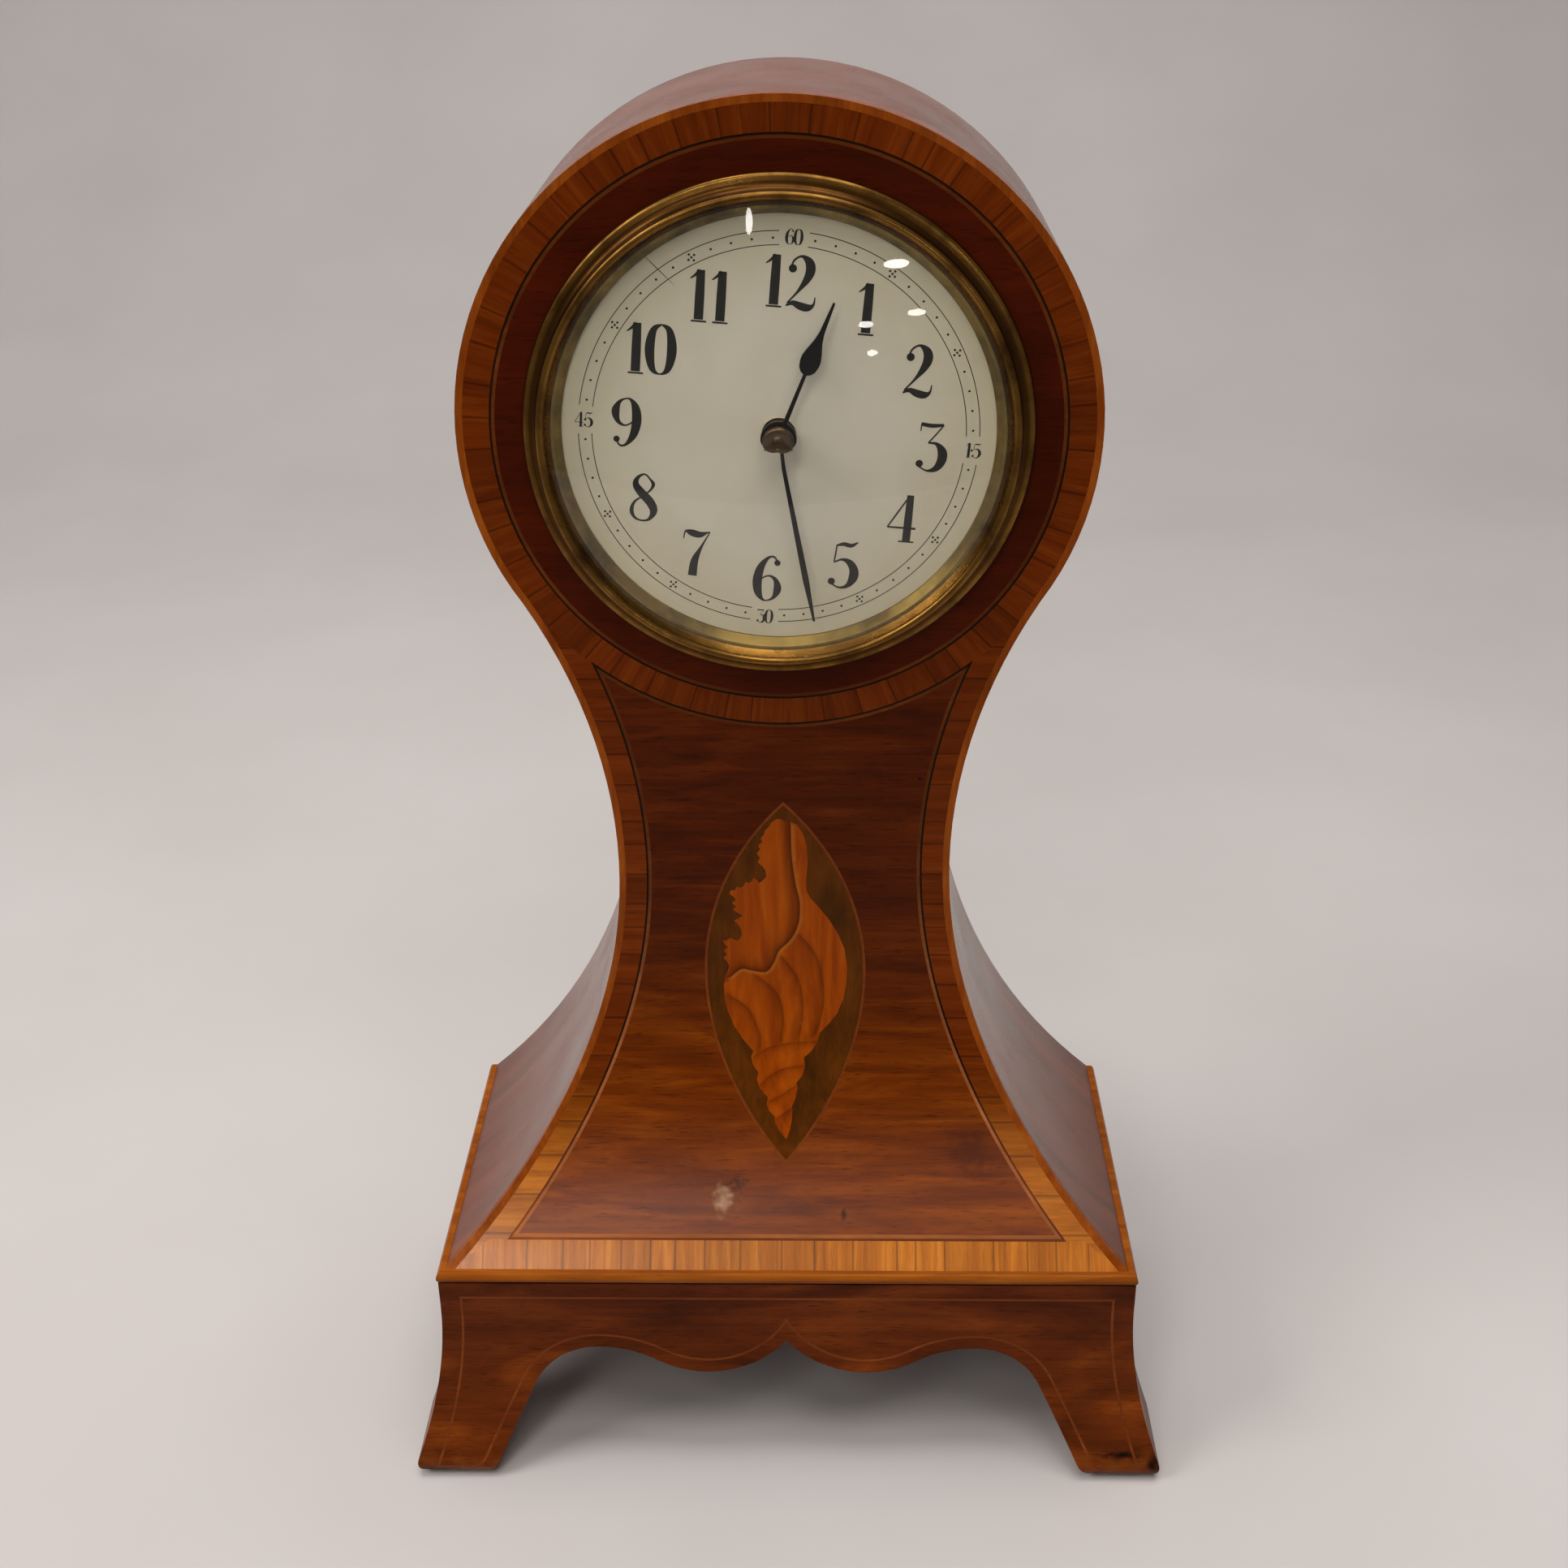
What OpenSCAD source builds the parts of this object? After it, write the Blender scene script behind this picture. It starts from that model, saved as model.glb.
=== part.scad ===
// Balloon mantel clock with a drum head: an inlaid mahogany case on a bracket-foot
// plinth, and a round eight-day movement with a platform lever escapement.
// Millimetres, +Z up, the front of the clock faces -Y. The origin is on the table,
// under the centre of the whole clock's box.

/* [Case] */
// Radius of the drum head
drum_r = 56; // [54:0.5:58]
// Height of the drum's centre above the table
drum_z = 213.5; // [210:0.5:217]
// Width of the narrowest part of the waist
waist_w = 63.6; // [60:0.2:68]
// Height of the waist above the table
waist_z = 128.9; // [126:0.1:132]
// Width of the case at its foot
skirt_w = 136.8; // [134:0.2:138]
// Depth of the case above the sweep
case_depth = 46.5; // [46:0.5:50]
// Height where the front starts to sweep forward
sweep_top_z = 113.5; // [112:0.5:115]
// Radius of the forward sweep
sweep_r = 100; // [98:1:104]
// Thickness of the bent side band
side_t = 4; // [3.5:0.5:5]
// Thickness of the front board behind its veneers
front_t = 7.4; // [6:0.2:8]
// Thickness of the back board
back_t = 6; // [5:0.5:7]

/* [Plinth] */
// Height of the plinth
plinth_h = 46; // [45:0.2:47]
// Width of the plinth at its top
plinth_w = 139.8; // [139.6:0.2:141]
// Height of the bead between plinth and case
bead_h = 2.6; // [2.4:0.2:3]
// Height where the feet start to splay
flare_z = 40; // [38:0.5:41]
// Radius of the feet's outward curve
flare_r = 98; // [90:1:104]
// Thickness of the apron boards
apron_t = 7; // [6:0.5:8]

/* [Inlay] */
// Thickness of the veneers
veneer_t = 0.6; // [0.5:0.1:0.8]
// Width of the boxwood edge
edge_w = 1.3; // [1.1:0.1:1.6]
// Width of the crossbanding on the drum
ring_band_w = 4.5; // [4.2:0.1:4.8]
// Width of the crossbanding down the sides and along the foot
side_band_w = 4; // [3.7:0.1:4.4]
// Width of the ebony line
ebony_w = 0.4; // [0.4:0.1:0.7]
// Width of the boxwood line
box_line_w = 0.6; // [0.5:0.1:0.9]
// Half height of the pointed oval
oval_h = 38; // [36:0.5:39]
// Half width of the pointed oval
oval_w = 15.9; // [15.6:0.1:16.4]
// Height of the oval's middle
oval_z = 103.9; // [102:0.1:105]

/* [Bezel and dial] */
// Outer radius of the brass bezel
bezel_r = 44.2; // [44:0.1:44.6]
// Outer radius of the movement's drum
can_r = 40.5; // [40.5:0.1:40.8]
// Radius of the dial that shows inside the sight ring
sight_r = 37.4; // [36.5:0.1:37.8]
// Rise of the domed glass
glass_rise = 6; // [5.5:0.5:7]

/* [Hands] */
// Clockwise angle of the minute hand from twelve
minute_angle = 169.7; // [0:0.1:359.9]
// Clockwise angle of the hour hand from twelve
hour_angle = 22.3; // [0:0.1:359.9]
// Reach of the minute hand
minute_len = 33.4; // [31:0.2:34]
// Reach of the hour hand
hour_len = 25; // [23:0.2:26]

/* [Movement] */
// Radius of the two plates
plate_r = 36.4; // [36.2:0.1:36.8]
// Distance from the front of the case to the front plate
front_plate_y = 10; // [10:0.1:10.4]
// Gap between the plates
plate_gap = 18; // [18:0.1:18.4]
// Thickness of each plate
plate_t = 2; // [1.8:0.1:2]

/* [Hidden] */
$fn = 96;

// Places of the case on the front-to-back line, from the front of the drum
plinth_front_y = -25.3;
toe_r = 3.4;
toe_out = flare_r - sqrt(pow(flare_r + toe_r, 2) - pow(flare_z - toe_r, 2));
toe_front_y = plinth_front_y - toe_out - toe_r;
door_back_y = 52.2;
front_y = -(toe_front_y + door_back_y) / 2;
back_y = case_depth;
inside_back_y = case_depth - back_t;
case_foot_z = plinth_h + bead_h;
plinth_inner_y = plinth_front_y + apron_t;
far = 200;

// The side arcs: the neck one all but touches the drum, the skirt one reaches the foot
half_waist = waist_w / 2;
join = drum_r - 0.05;
neck_rise = drum_z - waist_z;
neck_r = (half_waist * half_waist + neck_rise * neck_rise - join * join) / (2 * (join - half_waist));
skirt_out = skirt_w / 2 - half_waist;
skirt_drop = waist_z - case_foot_z;
skirt_r = (skirt_out * skirt_out + skirt_drop * skirt_drop) / (2 * skirt_out);
join_angle = atan(neck_rise / (half_waist + neck_r));

// Radii of the drum's inlaid rings
ring_in_r = drum_r - edge_w - ring_band_w - 0.1;
ring_out_r = drum_r - 1;
surround_r = ring_in_r - ebony_w - box_line_w;
can_bore_r = can_r + 2.5;
screw_ring_r = 41.7;

// The scalloped apron: lobe, arch and bracket arcs, as [x, z, radius]
lobe = [16.1, 45, 20.9];
arch = [38.3, 6.2, 23.8];
bracket = [38.3, 15.5, 14.5];
side_foot = 31.6;
foot_slope = 25.5;
heel_r = 7;
bead_r = 1.56;

// The pointed oval's two arcs
oval_r = (oval_h * oval_h + oval_w * oval_w) / (2 * oval_w);

// Planes of the movement, from the front of the case to the back
dial_y = 0;
dial_t = 1.4;
hour_hand_y = -2.2;
minute_hand_y = -3.6;
front_plate_back = front_plate_y + plate_t;
back_plate_y = front_plate_back + plate_gap;
back_plate_back = back_plate_y + plate_t;
platform_y = back_plate_back;
square_end_y = 43.5;
ring_y = case_depth;
ring_t = 1.8;
door_y = 48.6;
door_t = 1.4;
hinge_x = -42.6;
hinge_y = 49.9;
hinge_r = 1.5;

// Arbors in the drum, as [x, z] from the drum's centre, and what they carry
barrel_at = 18.8 * [cos(235), sin(235)];
second_at = 13.5 * [cos(301.42), sin(301.42)];
third_angle = 60;
third_at = 13.5 * [cos(third_angle), sin(third_angle)];
fourth_angle = 150;
fourth_at = third_at + 10.625 * [cos(fourth_angle), sin(fourth_angle)];
escape_angle = 200;
escape_at = fourth_at + 8.47 * [cos(escape_angle), sin(escape_angle)];
setting_angle = 165;
setting_at = 14.4 * [cos(setting_angle), sin(setting_angle)];
lever_at = escape_at + [5, 0];
balance_at = escape_at + [11.4, 0];
bridge_foot = escape_at - [5.9, 0];
click_at = barrel_at + 10.2 * [cos(20), sin(20)];
pillar_angles = [90, 200, 275, 350];
pillar_r = 32.5;
dial_feet = [60, 180, 300];
cock_angle = 39;

// A triangular glue block stands in each inner corner, and a screw goes up through it
block_half = plinth_w / 2 - apron_t;
block_z = flare_z - 10;
block_corners = [for (x = [-1, 1]) for (end = [[plinth_inner_y, 1], [back_y - apron_t, -1]])
    [x * block_half, front_y + end[0], x, end[1]]];
screw_spots = [for (c = block_corners) [c[0] - c[2] * 4.6, c[1] + c[3] * 4.6]];

// Teeth and tooth sizes, wheel by wheel
barrel_teeth = 84;
barrel_m = 0.38;
second_pinion = 12;
second_teeth = 80;
second_m = 0.3;
centre_pinion = 10;
centre_teeth = 80;
centre_m = 0.3;
third_pinion = 10;
third_teeth = 75;
third_m = 0.25;
fourth_pinion = 10;
fourth_teeth = 70;
fourth_m = 0.22;
escape_pinion = 7;
cannon_teeth = 12;
minute_teeth = 36;
minute_m = 0.6;
minute_pinion = 10;
hour_teeth = 40;
hour_m = 0.576;
run_gap = 0.05;

// Phases that put each follower's gap on its driver's tooth
barrel_to_second = atan2(second_at[1] - barrel_at[1], second_at[0] - barrel_at[0]);
barrel_mesh = barrel_to_second;
second_pinion_mesh = barrel_to_second + 180 + 180 / second_pinion;
second_to_centre = atan2(-second_at[1], -second_at[0]);
second_mesh = second_to_centre;
centre_pinion_mesh = second_to_centre + 180 + 180 / centre_pinion;
third_pinion_mesh = third_angle + 180 + 180 / third_pinion;
fourth_pinion_mesh = fourth_angle + 180 + 180 / fourth_pinion;
escape_pinion_mesh = escape_angle + 180 + 180 / escape_pinion;
minute_mesh = setting_angle + 180 + 180 / minute_teeth;
minute_pinion_mesh = setting_angle + 180 + 180 / minute_pinion;

// Colours as the photograph shows them
mahogany = [0.30, 0.13, 0.07];
mahogany_light = [0.42, 0.19, 0.09];
satinwood = [0.62, 0.38, 0.18];
boxwood = [0.72, 0.48, 0.24];
ebony = [0.07, 0.05, 0.04];
oval_green = [0.28, 0.20, 0.07];
pine = [0.66, 0.50, 0.33];
brass = [0.72, 0.56, 0.28];
steel = [0.50, 0.50, 0.52];
blue_steel = [0.06, 0.05, 0.06];
enamel = [0.83, 0.79, 0.70];

// Carries a flat drawing from y0 back to y1, measured from the front of the drum
module along_y(y0, y1) {
    translate([0, front_y + y1, 0]) rotate([90, 0, 0]) linear_extrude(y1 - y0) children();
}

// The same, with the drawing's origin at the drum's centre
module at_drum(y0, y1) {
    translate([0, 0, drum_z]) along_y(y0, y1) children();
}

// Carries a side view, drawn as [y, z], across the clock from x0 to x1
module along_x(x0, x1) {
    translate([x0, front_y, 0]) rotate([90, 0, 90]) linear_extrude(x1 - x0) children();
}

// Turns a half section, drawn as [radius, y], about the drum's axis
module about_drum(at = [0, 0]) {
    translate([at[0], front_y, drum_z + at[1]]) rotate([-90, 0, 0]) rotate_extrude() children();
}

module disc(r, hole = 0) {
    difference() {
        circle(r = r);
        if (hole > 0) circle(r = hole);
    }
}

// The balloon outline, drawn in by inset and cut off level at floor_z
module balloon(inset, floor_z) {
    translate([0, drum_z]) circle(r = drum_r - inset);
    difference() {
        translate([-skirt_w, floor_z]) square([2 * skirt_w, waist_z - floor_z]);
        for (side = [-1, 1]) {
            translate([side * (half_waist + skirt_r), waist_z]) circle(r = skirt_r + inset);
        }
    }
    neck_x = (drum_r - inset) * cos(join_angle);
    difference() {
        translate([-neck_x, waist_z]) square([2 * neck_x, neck_rise]);
        for (side = [-1, 1]) {
            translate([side * (half_waist + neck_r), waist_z]) circle(r = neck_r + inset);
        }
    }
}

// Side view of everything at least depth behind the swept front
module behind_front(depth) {
    difference() {
        translate([-60, case_foot_z - 5]) square([60 + case_depth, far + 30]);
        translate([-far, sweep_top_z]) square([far + depth, far]);
        translate([-sweep_r, sweep_top_z]) circle(r = sweep_r + depth);
    }
}

// A skin of the swept front, from depth d0 to depth d1, cut to the drawing
module front_skin(d0, d1) {
    intersection() {
        along_x(-80, 80) difference() {
            behind_front(d0);
            behind_front(d1);
        }
        along_y(-40, 20) children();
    }
}

module can_hole() {
    translate([0, drum_z]) circle(r = can_bore_r);
}

// The lower panel inside the crossbanding, drawn in by grow more
module lower_panel(grow) {
    difference() {
        balloon(edge_w + side_band_w + grow, case_foot_z + side_band_w + 0.5 + grow);
        translate([0, drum_z]) circle(r = ring_out_r + grow);
    }
}

module pointed_oval(inset) {
    intersection_for (side = [-1, 1]) {
        translate([side * (oval_r - oval_w), oval_z]) circle(r = oval_r - inset);
    }
}

// The conch: siphon at the top, toothed lip on the left, whorls and spire below
module conch() {
    lip = [[-3.0, 31.2], [-4.3, 29.4], [-4.7, 25.6], [-2.9, 22.2], [-3.2, 20.6], [-4.8, 19.7],
        [-6.0, 20.8], [-8.2, 18.4], [-10.1, 17.0], [-9.2, 15.7], [-9.7, 13.9], [-8.0, 11.4],
        [-9.4, 10.3], [-7.8, 8.7], [-8.1, 7.0], [-9.9, 5.0], [-11.6, 6.0], [-12.0, 2.9],
        [-11.1, 0.3], [-11.5, -1.7]];
    left = [[-12.1, -5.6], [-11.5, -9.7], [-9.3, -14.6], [-6.8, -17.8], [-6.7, -20.6],
        [-5.5, -22.9], [-5.4, -24.9], [-3.9, -26.3], [-3.8, -28.4], [-2.4, -29.8], [-1.8, -31.5]];
    right = [[0, -33.6], [1.5, -29.6], [1.1, -28.2], [2.0, -26.2], [2.1, -23.8], [3.4, -21.6],
        [3.7, -19.4], [5.8, -17.6], [7.5, -14.1], [9.8, -11.1], [11.6, -7.3], [12.3, -2.7],
        [12.1, 1.7], [10.3, 7.6], [7.5, 12.9], [5.2, 17.0], [4.7, 22.0], [4.6, 26.8],
        [4.0, 31.0], [2.4, 33.4], [0.4, 34.2], [-1.3, 33.8]];
    translate([0, oval_z]) polygon(concat(lip, left, right));
}

// Front view of the plinth, drawn in by inset at its splayed sides, from z0 up to z1
module plinth_front_view(inset, z0, z1) {
    half = plinth_w / 2 - inset;
    difference() {
        translate([-100, z0]) square([200, z1 - z0]);
        for (side = [-1, 1]) {
            translate([side * (half + 50), flare_z + 25]) square([100, 50], center = true);
            translate([side * (half + flare_r + inset), flare_z]) circle(r = flare_r + inset);
        }
    }
}

// Side view of the plinth, drawn in by inset at its splayed front
module plinth_side_view(inset) {
    difference() {
        translate([-60, -1]) square([60 + back_y, plinth_h + 1]);
        translate([plinth_front_y + inset - 50, flare_z + 25]) square([100, 50], center = true);
        translate([plinth_front_y - flare_r, flare_z]) circle(r = flare_r + inset);
    }
}

// The plinth as a closed block, drawn in by inset, with its feet splaying outwards
module plinth_block(inset) {
    intersection() {
        along_y(-60, back_y - inset) plinth_front_view(inset, -1, plinth_h);
        along_x(-100, 100) plinth_side_view(inset);
    }
}

// The lower corner that the rounded toe loses, on a face that stands at x = reach; inset
// draws it in, as the face is
module toe_corner(reach, inset = 0) {
    top = toe_r + (toe_r - inset) * (flare_z - toe_r) / (flare_r + toe_r);
    difference() {
        translate([reach + toe_out, -2]) square([4 * toe_r, top + 2]);
        translate([reach + toe_out, toe_r]) circle(r = toe_r - inset);
    }
}

// The board ring that all four sides of the plinth are cut from
module plinth_ring() {
    difference() {
        plinth_block(0);
        plinth_block(apron_t);
        translate([-100, front_y - 60, -2]) cube([200, 120, 2]);
        for (side = [0, 1]) along_y(-60, back_y + 1) mirror([side, 0]) toe_corner(plinth_w / 2);
        along_x(-100, 100) mirror([1, 0]) toe_corner(-plinth_front_y);
    }
}

// Plan of the front apron: it meets the side aprons in mitres
module mitre_plan() {
    corner = plinth_w / 2;
    polygon([[-corner - 20, plinth_front_y - 20], [corner + 20, plinth_front_y - 20],
        [corner - 20, plinth_front_y + 20], [-corner + 20, plinth_front_y + 20]]);
}

// Points on an arc about a centre, from angle a0 to angle a1 in equal steps
function arc_points(centre, r, a0, a1, steps) = [for (i = [0 : steps])
    let (a = a0 + (a1 - a0) * i / steps) [centre[0] + r * cos(a), centre[1] + r * sin(a)]];

// A bracket's lower edge: down from its arc, and round under the toe's inner corner, for
// a bracket arc about centre; grow moves the edge into the wood
function bracket_edge(centre, grow) =
    let (heel_x = centre[0] + (bracket[2] + heel_r) / cos(foot_slope)
        + (centre[1] - heel_r) * tan(foot_slope))
    concat(arc_points([heel_x, heel_r], heel_r - grow, 180 + foot_slope, 270, 8), [[heel_x, -1]]);

// The opening under the front apron, grown by grow for the line that follows it: half of
// it runs from the middle cusp round a lobe, over the arch and down the bracket's slope
module scallop(grow) {
    lobe_r = lobe[2] - grow;
    cusp_angle = -90 - asin(lobe[0] / lobe_r);
    turn_angle = atan2(arch[1] - lobe[1], arch[0] - lobe[0]);
    half = concat(
        arc_points(lobe, lobe_r, cusp_angle, turn_angle, 14),
        arc_points(arch, arch[2] + grow, turn_angle + 180, 90, 8),
        arc_points(bracket, bracket[2] + grow, 84, foot_slope, 12),
        bracket_edge(bracket, grow));
    last = len(half) - 1;
    polygon(concat([for (i = [0 : last]) [-half[i][0], half[i][1]]], [for (i = [last : -1 : 1]) half[i]]));
}

// The plainer opening under each side apron, drawn as [y, z]
module side_arch() {
    front = plinth_front_y + side_foot;
    back = back_y - side_foot;
    edge = bracket_edge([0, bracket[1]], 0);
    last = len(edge) - 1;
    polygon(concat([for (i = [last : -1 : 0]) [back + edge[i][0], edge[i][1]]],
        arc_points([back, bracket[1]], bracket[2], foot_slope, 90, 12),
        arc_points([front, bracket[1]], bracket[2], 90, 180 - foot_slope, 12),
        [for (i = [0 : last]) [front - edge[i][0], edge[i][1]]]));
}

// The boxwood line's loop on the front apron, drawn in by inset
module line_loop(inset) {
    difference() {
        plinth_front_view(inset, inset - 1.4, plinth_h + 0.6 - inset);
        scallop(inset - 1.4);
    }
}

// A wheel or pinion's toothed outline, its first tooth turned to phase
module toothed(teeth, m, phase = 0) {
    step = 360 / teeth;
    flank = [[teeth / 2 - 1.15, -0.27], [teeth / 2 + 0.8, -0.08], [teeth / 2 + 0.8, 0.08],
        [teeth / 2 - 1.15, 0.27]];
    polygon([for (i = [0 : teeth - 1]) for (p = flank)
        m * p[0] * [cos(phase + (i + p[1]) * step), sin(phase + (i + p[1]) * step)]]);
}

// A toothed wheel crossed out to arms between its hub and rim
module crossed(teeth, m, phase, hub, arms, arm_w) {
    rim = m * (teeth / 2 - 1.15) - 1.4;
    difference() {
        toothed(teeth, m, phase);
        difference() {
            circle(r = rim);
            circle(r = hub);
            for (i = [0 : arms - 1]) {
                rotate(i * 360 / arms) translate([0, -arm_w / 2]) square([rim + 1, arm_w]);
            }
        }
    }
}

// A flat spring wound from radius r0 to r1, as one strip
module spiral(r0, r1, turns, strip) {
    steps = turns * 20;
    path = [for (i = [0 : steps]) [r0 + (r1 - r0) * i / steps, i * 360 * turns / steps]];
    inner = [for (p = path) (p[0] - strip / 2) * [cos(p[1]), sin(p[1])]];
    outer = [for (i = [steps : -1 : 0]) (path[i][0] + strip / 2) * [cos(path[i][1]), sin(path[i][1])]];
    polygon(concat(inner, outer));
}

module front_board() {
    color(mahogany) intersection() {
        along_x(-80, 80) difference() {
            behind_front(veneer_t);
            behind_front(veneer_t + front_t);
        }
        along_y(-40, 40) difference() {
            balloon(side_t, case_foot_z);
            can_hole();
        }
    }
}

module side_band() {
    color(mahogany) difference() {
        intersection() {
            along_x(-80, 80) behind_front(veneer_t);
            along_y(-40, case_depth) difference() {
                balloon(0, case_foot_z);
                balloon(side_t, case_foot_z - 4);
            }
        }
        front_skin(-1, edge_w) difference() {
            balloon(-1, case_foot_z - 1);
            balloon(edge_w, case_foot_z - 2);
        }
    }
}

module back_board() {
    color(mahogany) along_y(inside_back_y, case_depth) difference() {
        balloon(side_t, case_foot_z);
        can_hole();
    }
}

// The floor: a plug inside the case walls on a wider plate under them
module base_board() {
    color(pine) {
        intersection() {
            along_x(-80, 80) intersection() {
                behind_front(veneer_t + front_t);
                translate([-60, case_foot_z]) square([60 + inside_back_y, 8]);
            }
            along_y(-40, inside_back_y) balloon(side_t, case_foot_z);
        }
        difference() {
            translate([-plinth_w / 2 + 4, front_y + plinth_front_y + 4, plinth_h])
                cube([plinth_w - 8, case_depth - plinth_front_y - 4, bead_h]);
            for (at = screw_spots) translate([at[0], at[1], plinth_h - 1])
                cylinder(r = 1.6, h = bead_h + 1);
        }
    }
}

module boxwood_edge() {
    color(boxwood) front_skin(0, edge_w) difference() {
        balloon(0, case_foot_z);
        balloon(edge_w, case_foot_z - 2);
    }
}

module crossbanding() {
    color(satinwood) front_skin(0, veneer_t) difference() {
        balloon(edge_w, case_foot_z);
        translate([0, drum_z]) circle(r = ring_in_r);
        lower_panel(0);
    }
}

module ebony_lines() {
    color(ebony) front_skin(0, veneer_t) {
        translate([0, drum_z]) disc(ring_in_r, ring_in_r - ebony_w);
        difference() {
            lower_panel(0);
            lower_panel(ebony_w);
        }
    }
}

module boxwood_lines() {
    color(boxwood) front_skin(0, veneer_t) {
        translate([0, drum_z]) disc(ring_in_r - ebony_w, surround_r);
        difference() {
            lower_panel(ebony_w);
            lower_panel(ebony_w + box_line_w);
        }
    }
}

module dial_surround() {
    color(mahogany) front_skin(0, veneer_t) translate([0, drum_z]) disc(surround_r, can_bore_r);
}

module waist_veneer() {
    color(mahogany_light) front_skin(0, veneer_t) difference() {
        lower_panel(ebony_w + box_line_w);
        pointed_oval(0);
    }
}

module oval_border() {
    color(boxwood) front_skin(0, veneer_t) difference() {
        pointed_oval(0);
        pointed_oval(0.5);
    }
}

module oval_ground() {
    color(oval_green) front_skin(0, veneer_t) difference() {
        pointed_oval(0.5);
        conch();
    }
}

module shell_inlay() {
    color(satinwood) front_skin(0, veneer_t) conch();
}

// The bead, with its corners mitred: a low round nose on all sides but the back
module base_bead() {
    nose = 0.3;
    half_angle = asin(bead_h / 2 / bead_r);
    mid_z = plinth_h + bead_h / 2;
    side_x = plinth_w / 2 + nose - bead_r;
    front_at = plinth_front_y - nose + bead_r;
    color(boxwood) difference() {
        intersection() {
            along_y(plinth_front_y - 1, back_y) polygon(concat(
                arc_points([side_x, mid_z], bead_r, -half_angle, half_angle, 8),
                arc_points([-side_x, mid_z], bead_r, 180 - half_angle, 180 + half_angle, 8)));
            along_x(-plinth_w, plinth_w) polygon(concat([[back_y, plinth_h], [back_y, case_foot_z]],
                arc_points([front_at, mid_z], bead_r, 180 - half_angle, 180 + half_angle, 8)));
        }
        translate([-plinth_w / 2 + 4, front_y + plinth_front_y + 4, plinth_h - 1])
            cube([plinth_w - 8, far, bead_h + 2]);
    }
}

module front_apron() {
    color(mahogany) difference() {
        intersection() {
            plinth_ring();
            translate([0, front_y, -1]) linear_extrude(plinth_h + 2) mitre_plan();
        }
        along_y(-60, plinth_front_y + 30) scallop(0);
        apron_line_solid();
    }
}

// One side apron, between the front mitre and the back
module side_apron(side) {
    color(mahogany) difference() {
        intersection() {
            plinth_ring();
            translate([side > 0 ? 0 : -100, front_y - 60, -1]) cube([100, 60 + back_y, plinth_h + 2]);
        }
        translate([0, front_y, -2]) linear_extrude(plinth_h + 4) mitre_plan();
        translate([-plinth_w / 2 + apron_t, front_y + back_y - apron_t - 0.1, -2])
            cube([plinth_w - 2 * apron_t, apron_t + 1, plinth_h + 4]);
        along_x(-100, 100) side_arch();
    }
}

module left_apron() {
    side_apron(-1);
}

module right_apron() {
    side_apron(1);
}

module rear_rail() {
    half = plinth_w / 2 - apron_t;
    color(mahogany) along_y(back_y - apron_t, back_y)
        translate([-half, bracket[1] + bracket[2]]) square([2 * half, plinth_h - bracket[1] - bracket[2]]);
}

// Side view of the plinth behind its front face, toe and all, drawn in by inset
module front_face(inset) {
    difference() {
        plinth_side_view(inset);
        mirror([1, 0]) toe_corner(-plinth_front_y, inset);
    }
}

// The line let into the apron's splayed front
module apron_line_solid() {
    intersection() {
        along_x(-80, 80) difference() {
            front_face(0);
            front_face(veneer_t);
        }
        along_y(-60, plinth_front_y + 2) difference() {
            line_loop(4);
            line_loop(4.5);
        }
    }
}

module apron_line() {
    color(boxwood) apron_line_solid();
}

module corner_blocks() {
    color(pine) difference() {
        for (c = block_corners) translate([c[0], c[1], block_z]) linear_extrude(plinth_h - block_z)
            polygon(c[2] * c[3] < 0 ? [[0, 0], [0, c[3] * 15], [-c[2] * 15, 0]]
                : [[0, 0], [-c[2] * 15, 0], [0, c[3] * 15]]);
        for (at = screw_spots) translate([at[0], at[1], 0]) cylinder(r = 1.6, h = plinth_h + 1);
    }
}

module plinth_screws() {
    color(steel) for (at = screw_spots) translate([at[0], at[1], block_z]) difference() {
        union() {
            cylinder(r = 1.55, h = case_foot_z - block_z);
            translate([0, 0, -1.6]) cylinder(r = 2.9, h = 1.6);
        }
        translate([-4, -0.4, -2]) cube([8, 0.8, 1]);
    }
}

// The brass can that the movement sits in, a plain tube behind the bezel
module drum_case() {
    color(brass) about_drum() polygon([[can_r - 0.8, 0], [can_r - 0.8, case_depth + ring_t],
        [can_r, case_depth + ring_t], [can_r, 0]]);
}

// Turned section of the bezel: a rolled rim, a cove, and the ridge that holds the glass
module bezel() {
    color(brass) about_drum() difference() {
        union() {
            translate([39.1, -3.9]) square([3.2, 3.9]);
            translate([42.2, -1.9]) square([1.1, 1.9]);
            translate([bezel_r - 0.95, -1]) circle(r = 0.95);
            translate([40.9, -4]) circle(r = 0.8);
        }
        translate([43, -3.6]) circle(r = 1.55);
        translate([39, -3.9]) square([1.6, 1.5]);
    }
}

module glass() {
    edge_r = 40.5;
    outer = (edge_r * edge_r + glass_rise * glass_rise) / (2 * glass_rise);
    color([0.8, 0.85, 0.85, 0.35]) about_drum() intersection() {
        translate([0, outer - glass_rise - 3.4]) disc(outer, outer - 1);
        translate([0, -12]) square([40.55, 9.55]);
    }
}

// The gilt ring between glass and dial
module sight_ring() {
    color(brass) about_drum() polygon([[sight_r, dial_y], [sight_r, dial_y - 0.5], [38.3, -1.9],
        [38.5, -2.2], [39.05, -2.2], [39.05, dial_y]]);
}

module dial() {
    color(enamel) {
        at_drum(dial_y, dial_y + dial_t) disc(39.6, 3);
        at_drum(dial_y + dial_t, front_plate_back)
            for (a = dial_feet) rotate(a) translate([30, 0]) circle(r = 0.8);
    }
}

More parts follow.
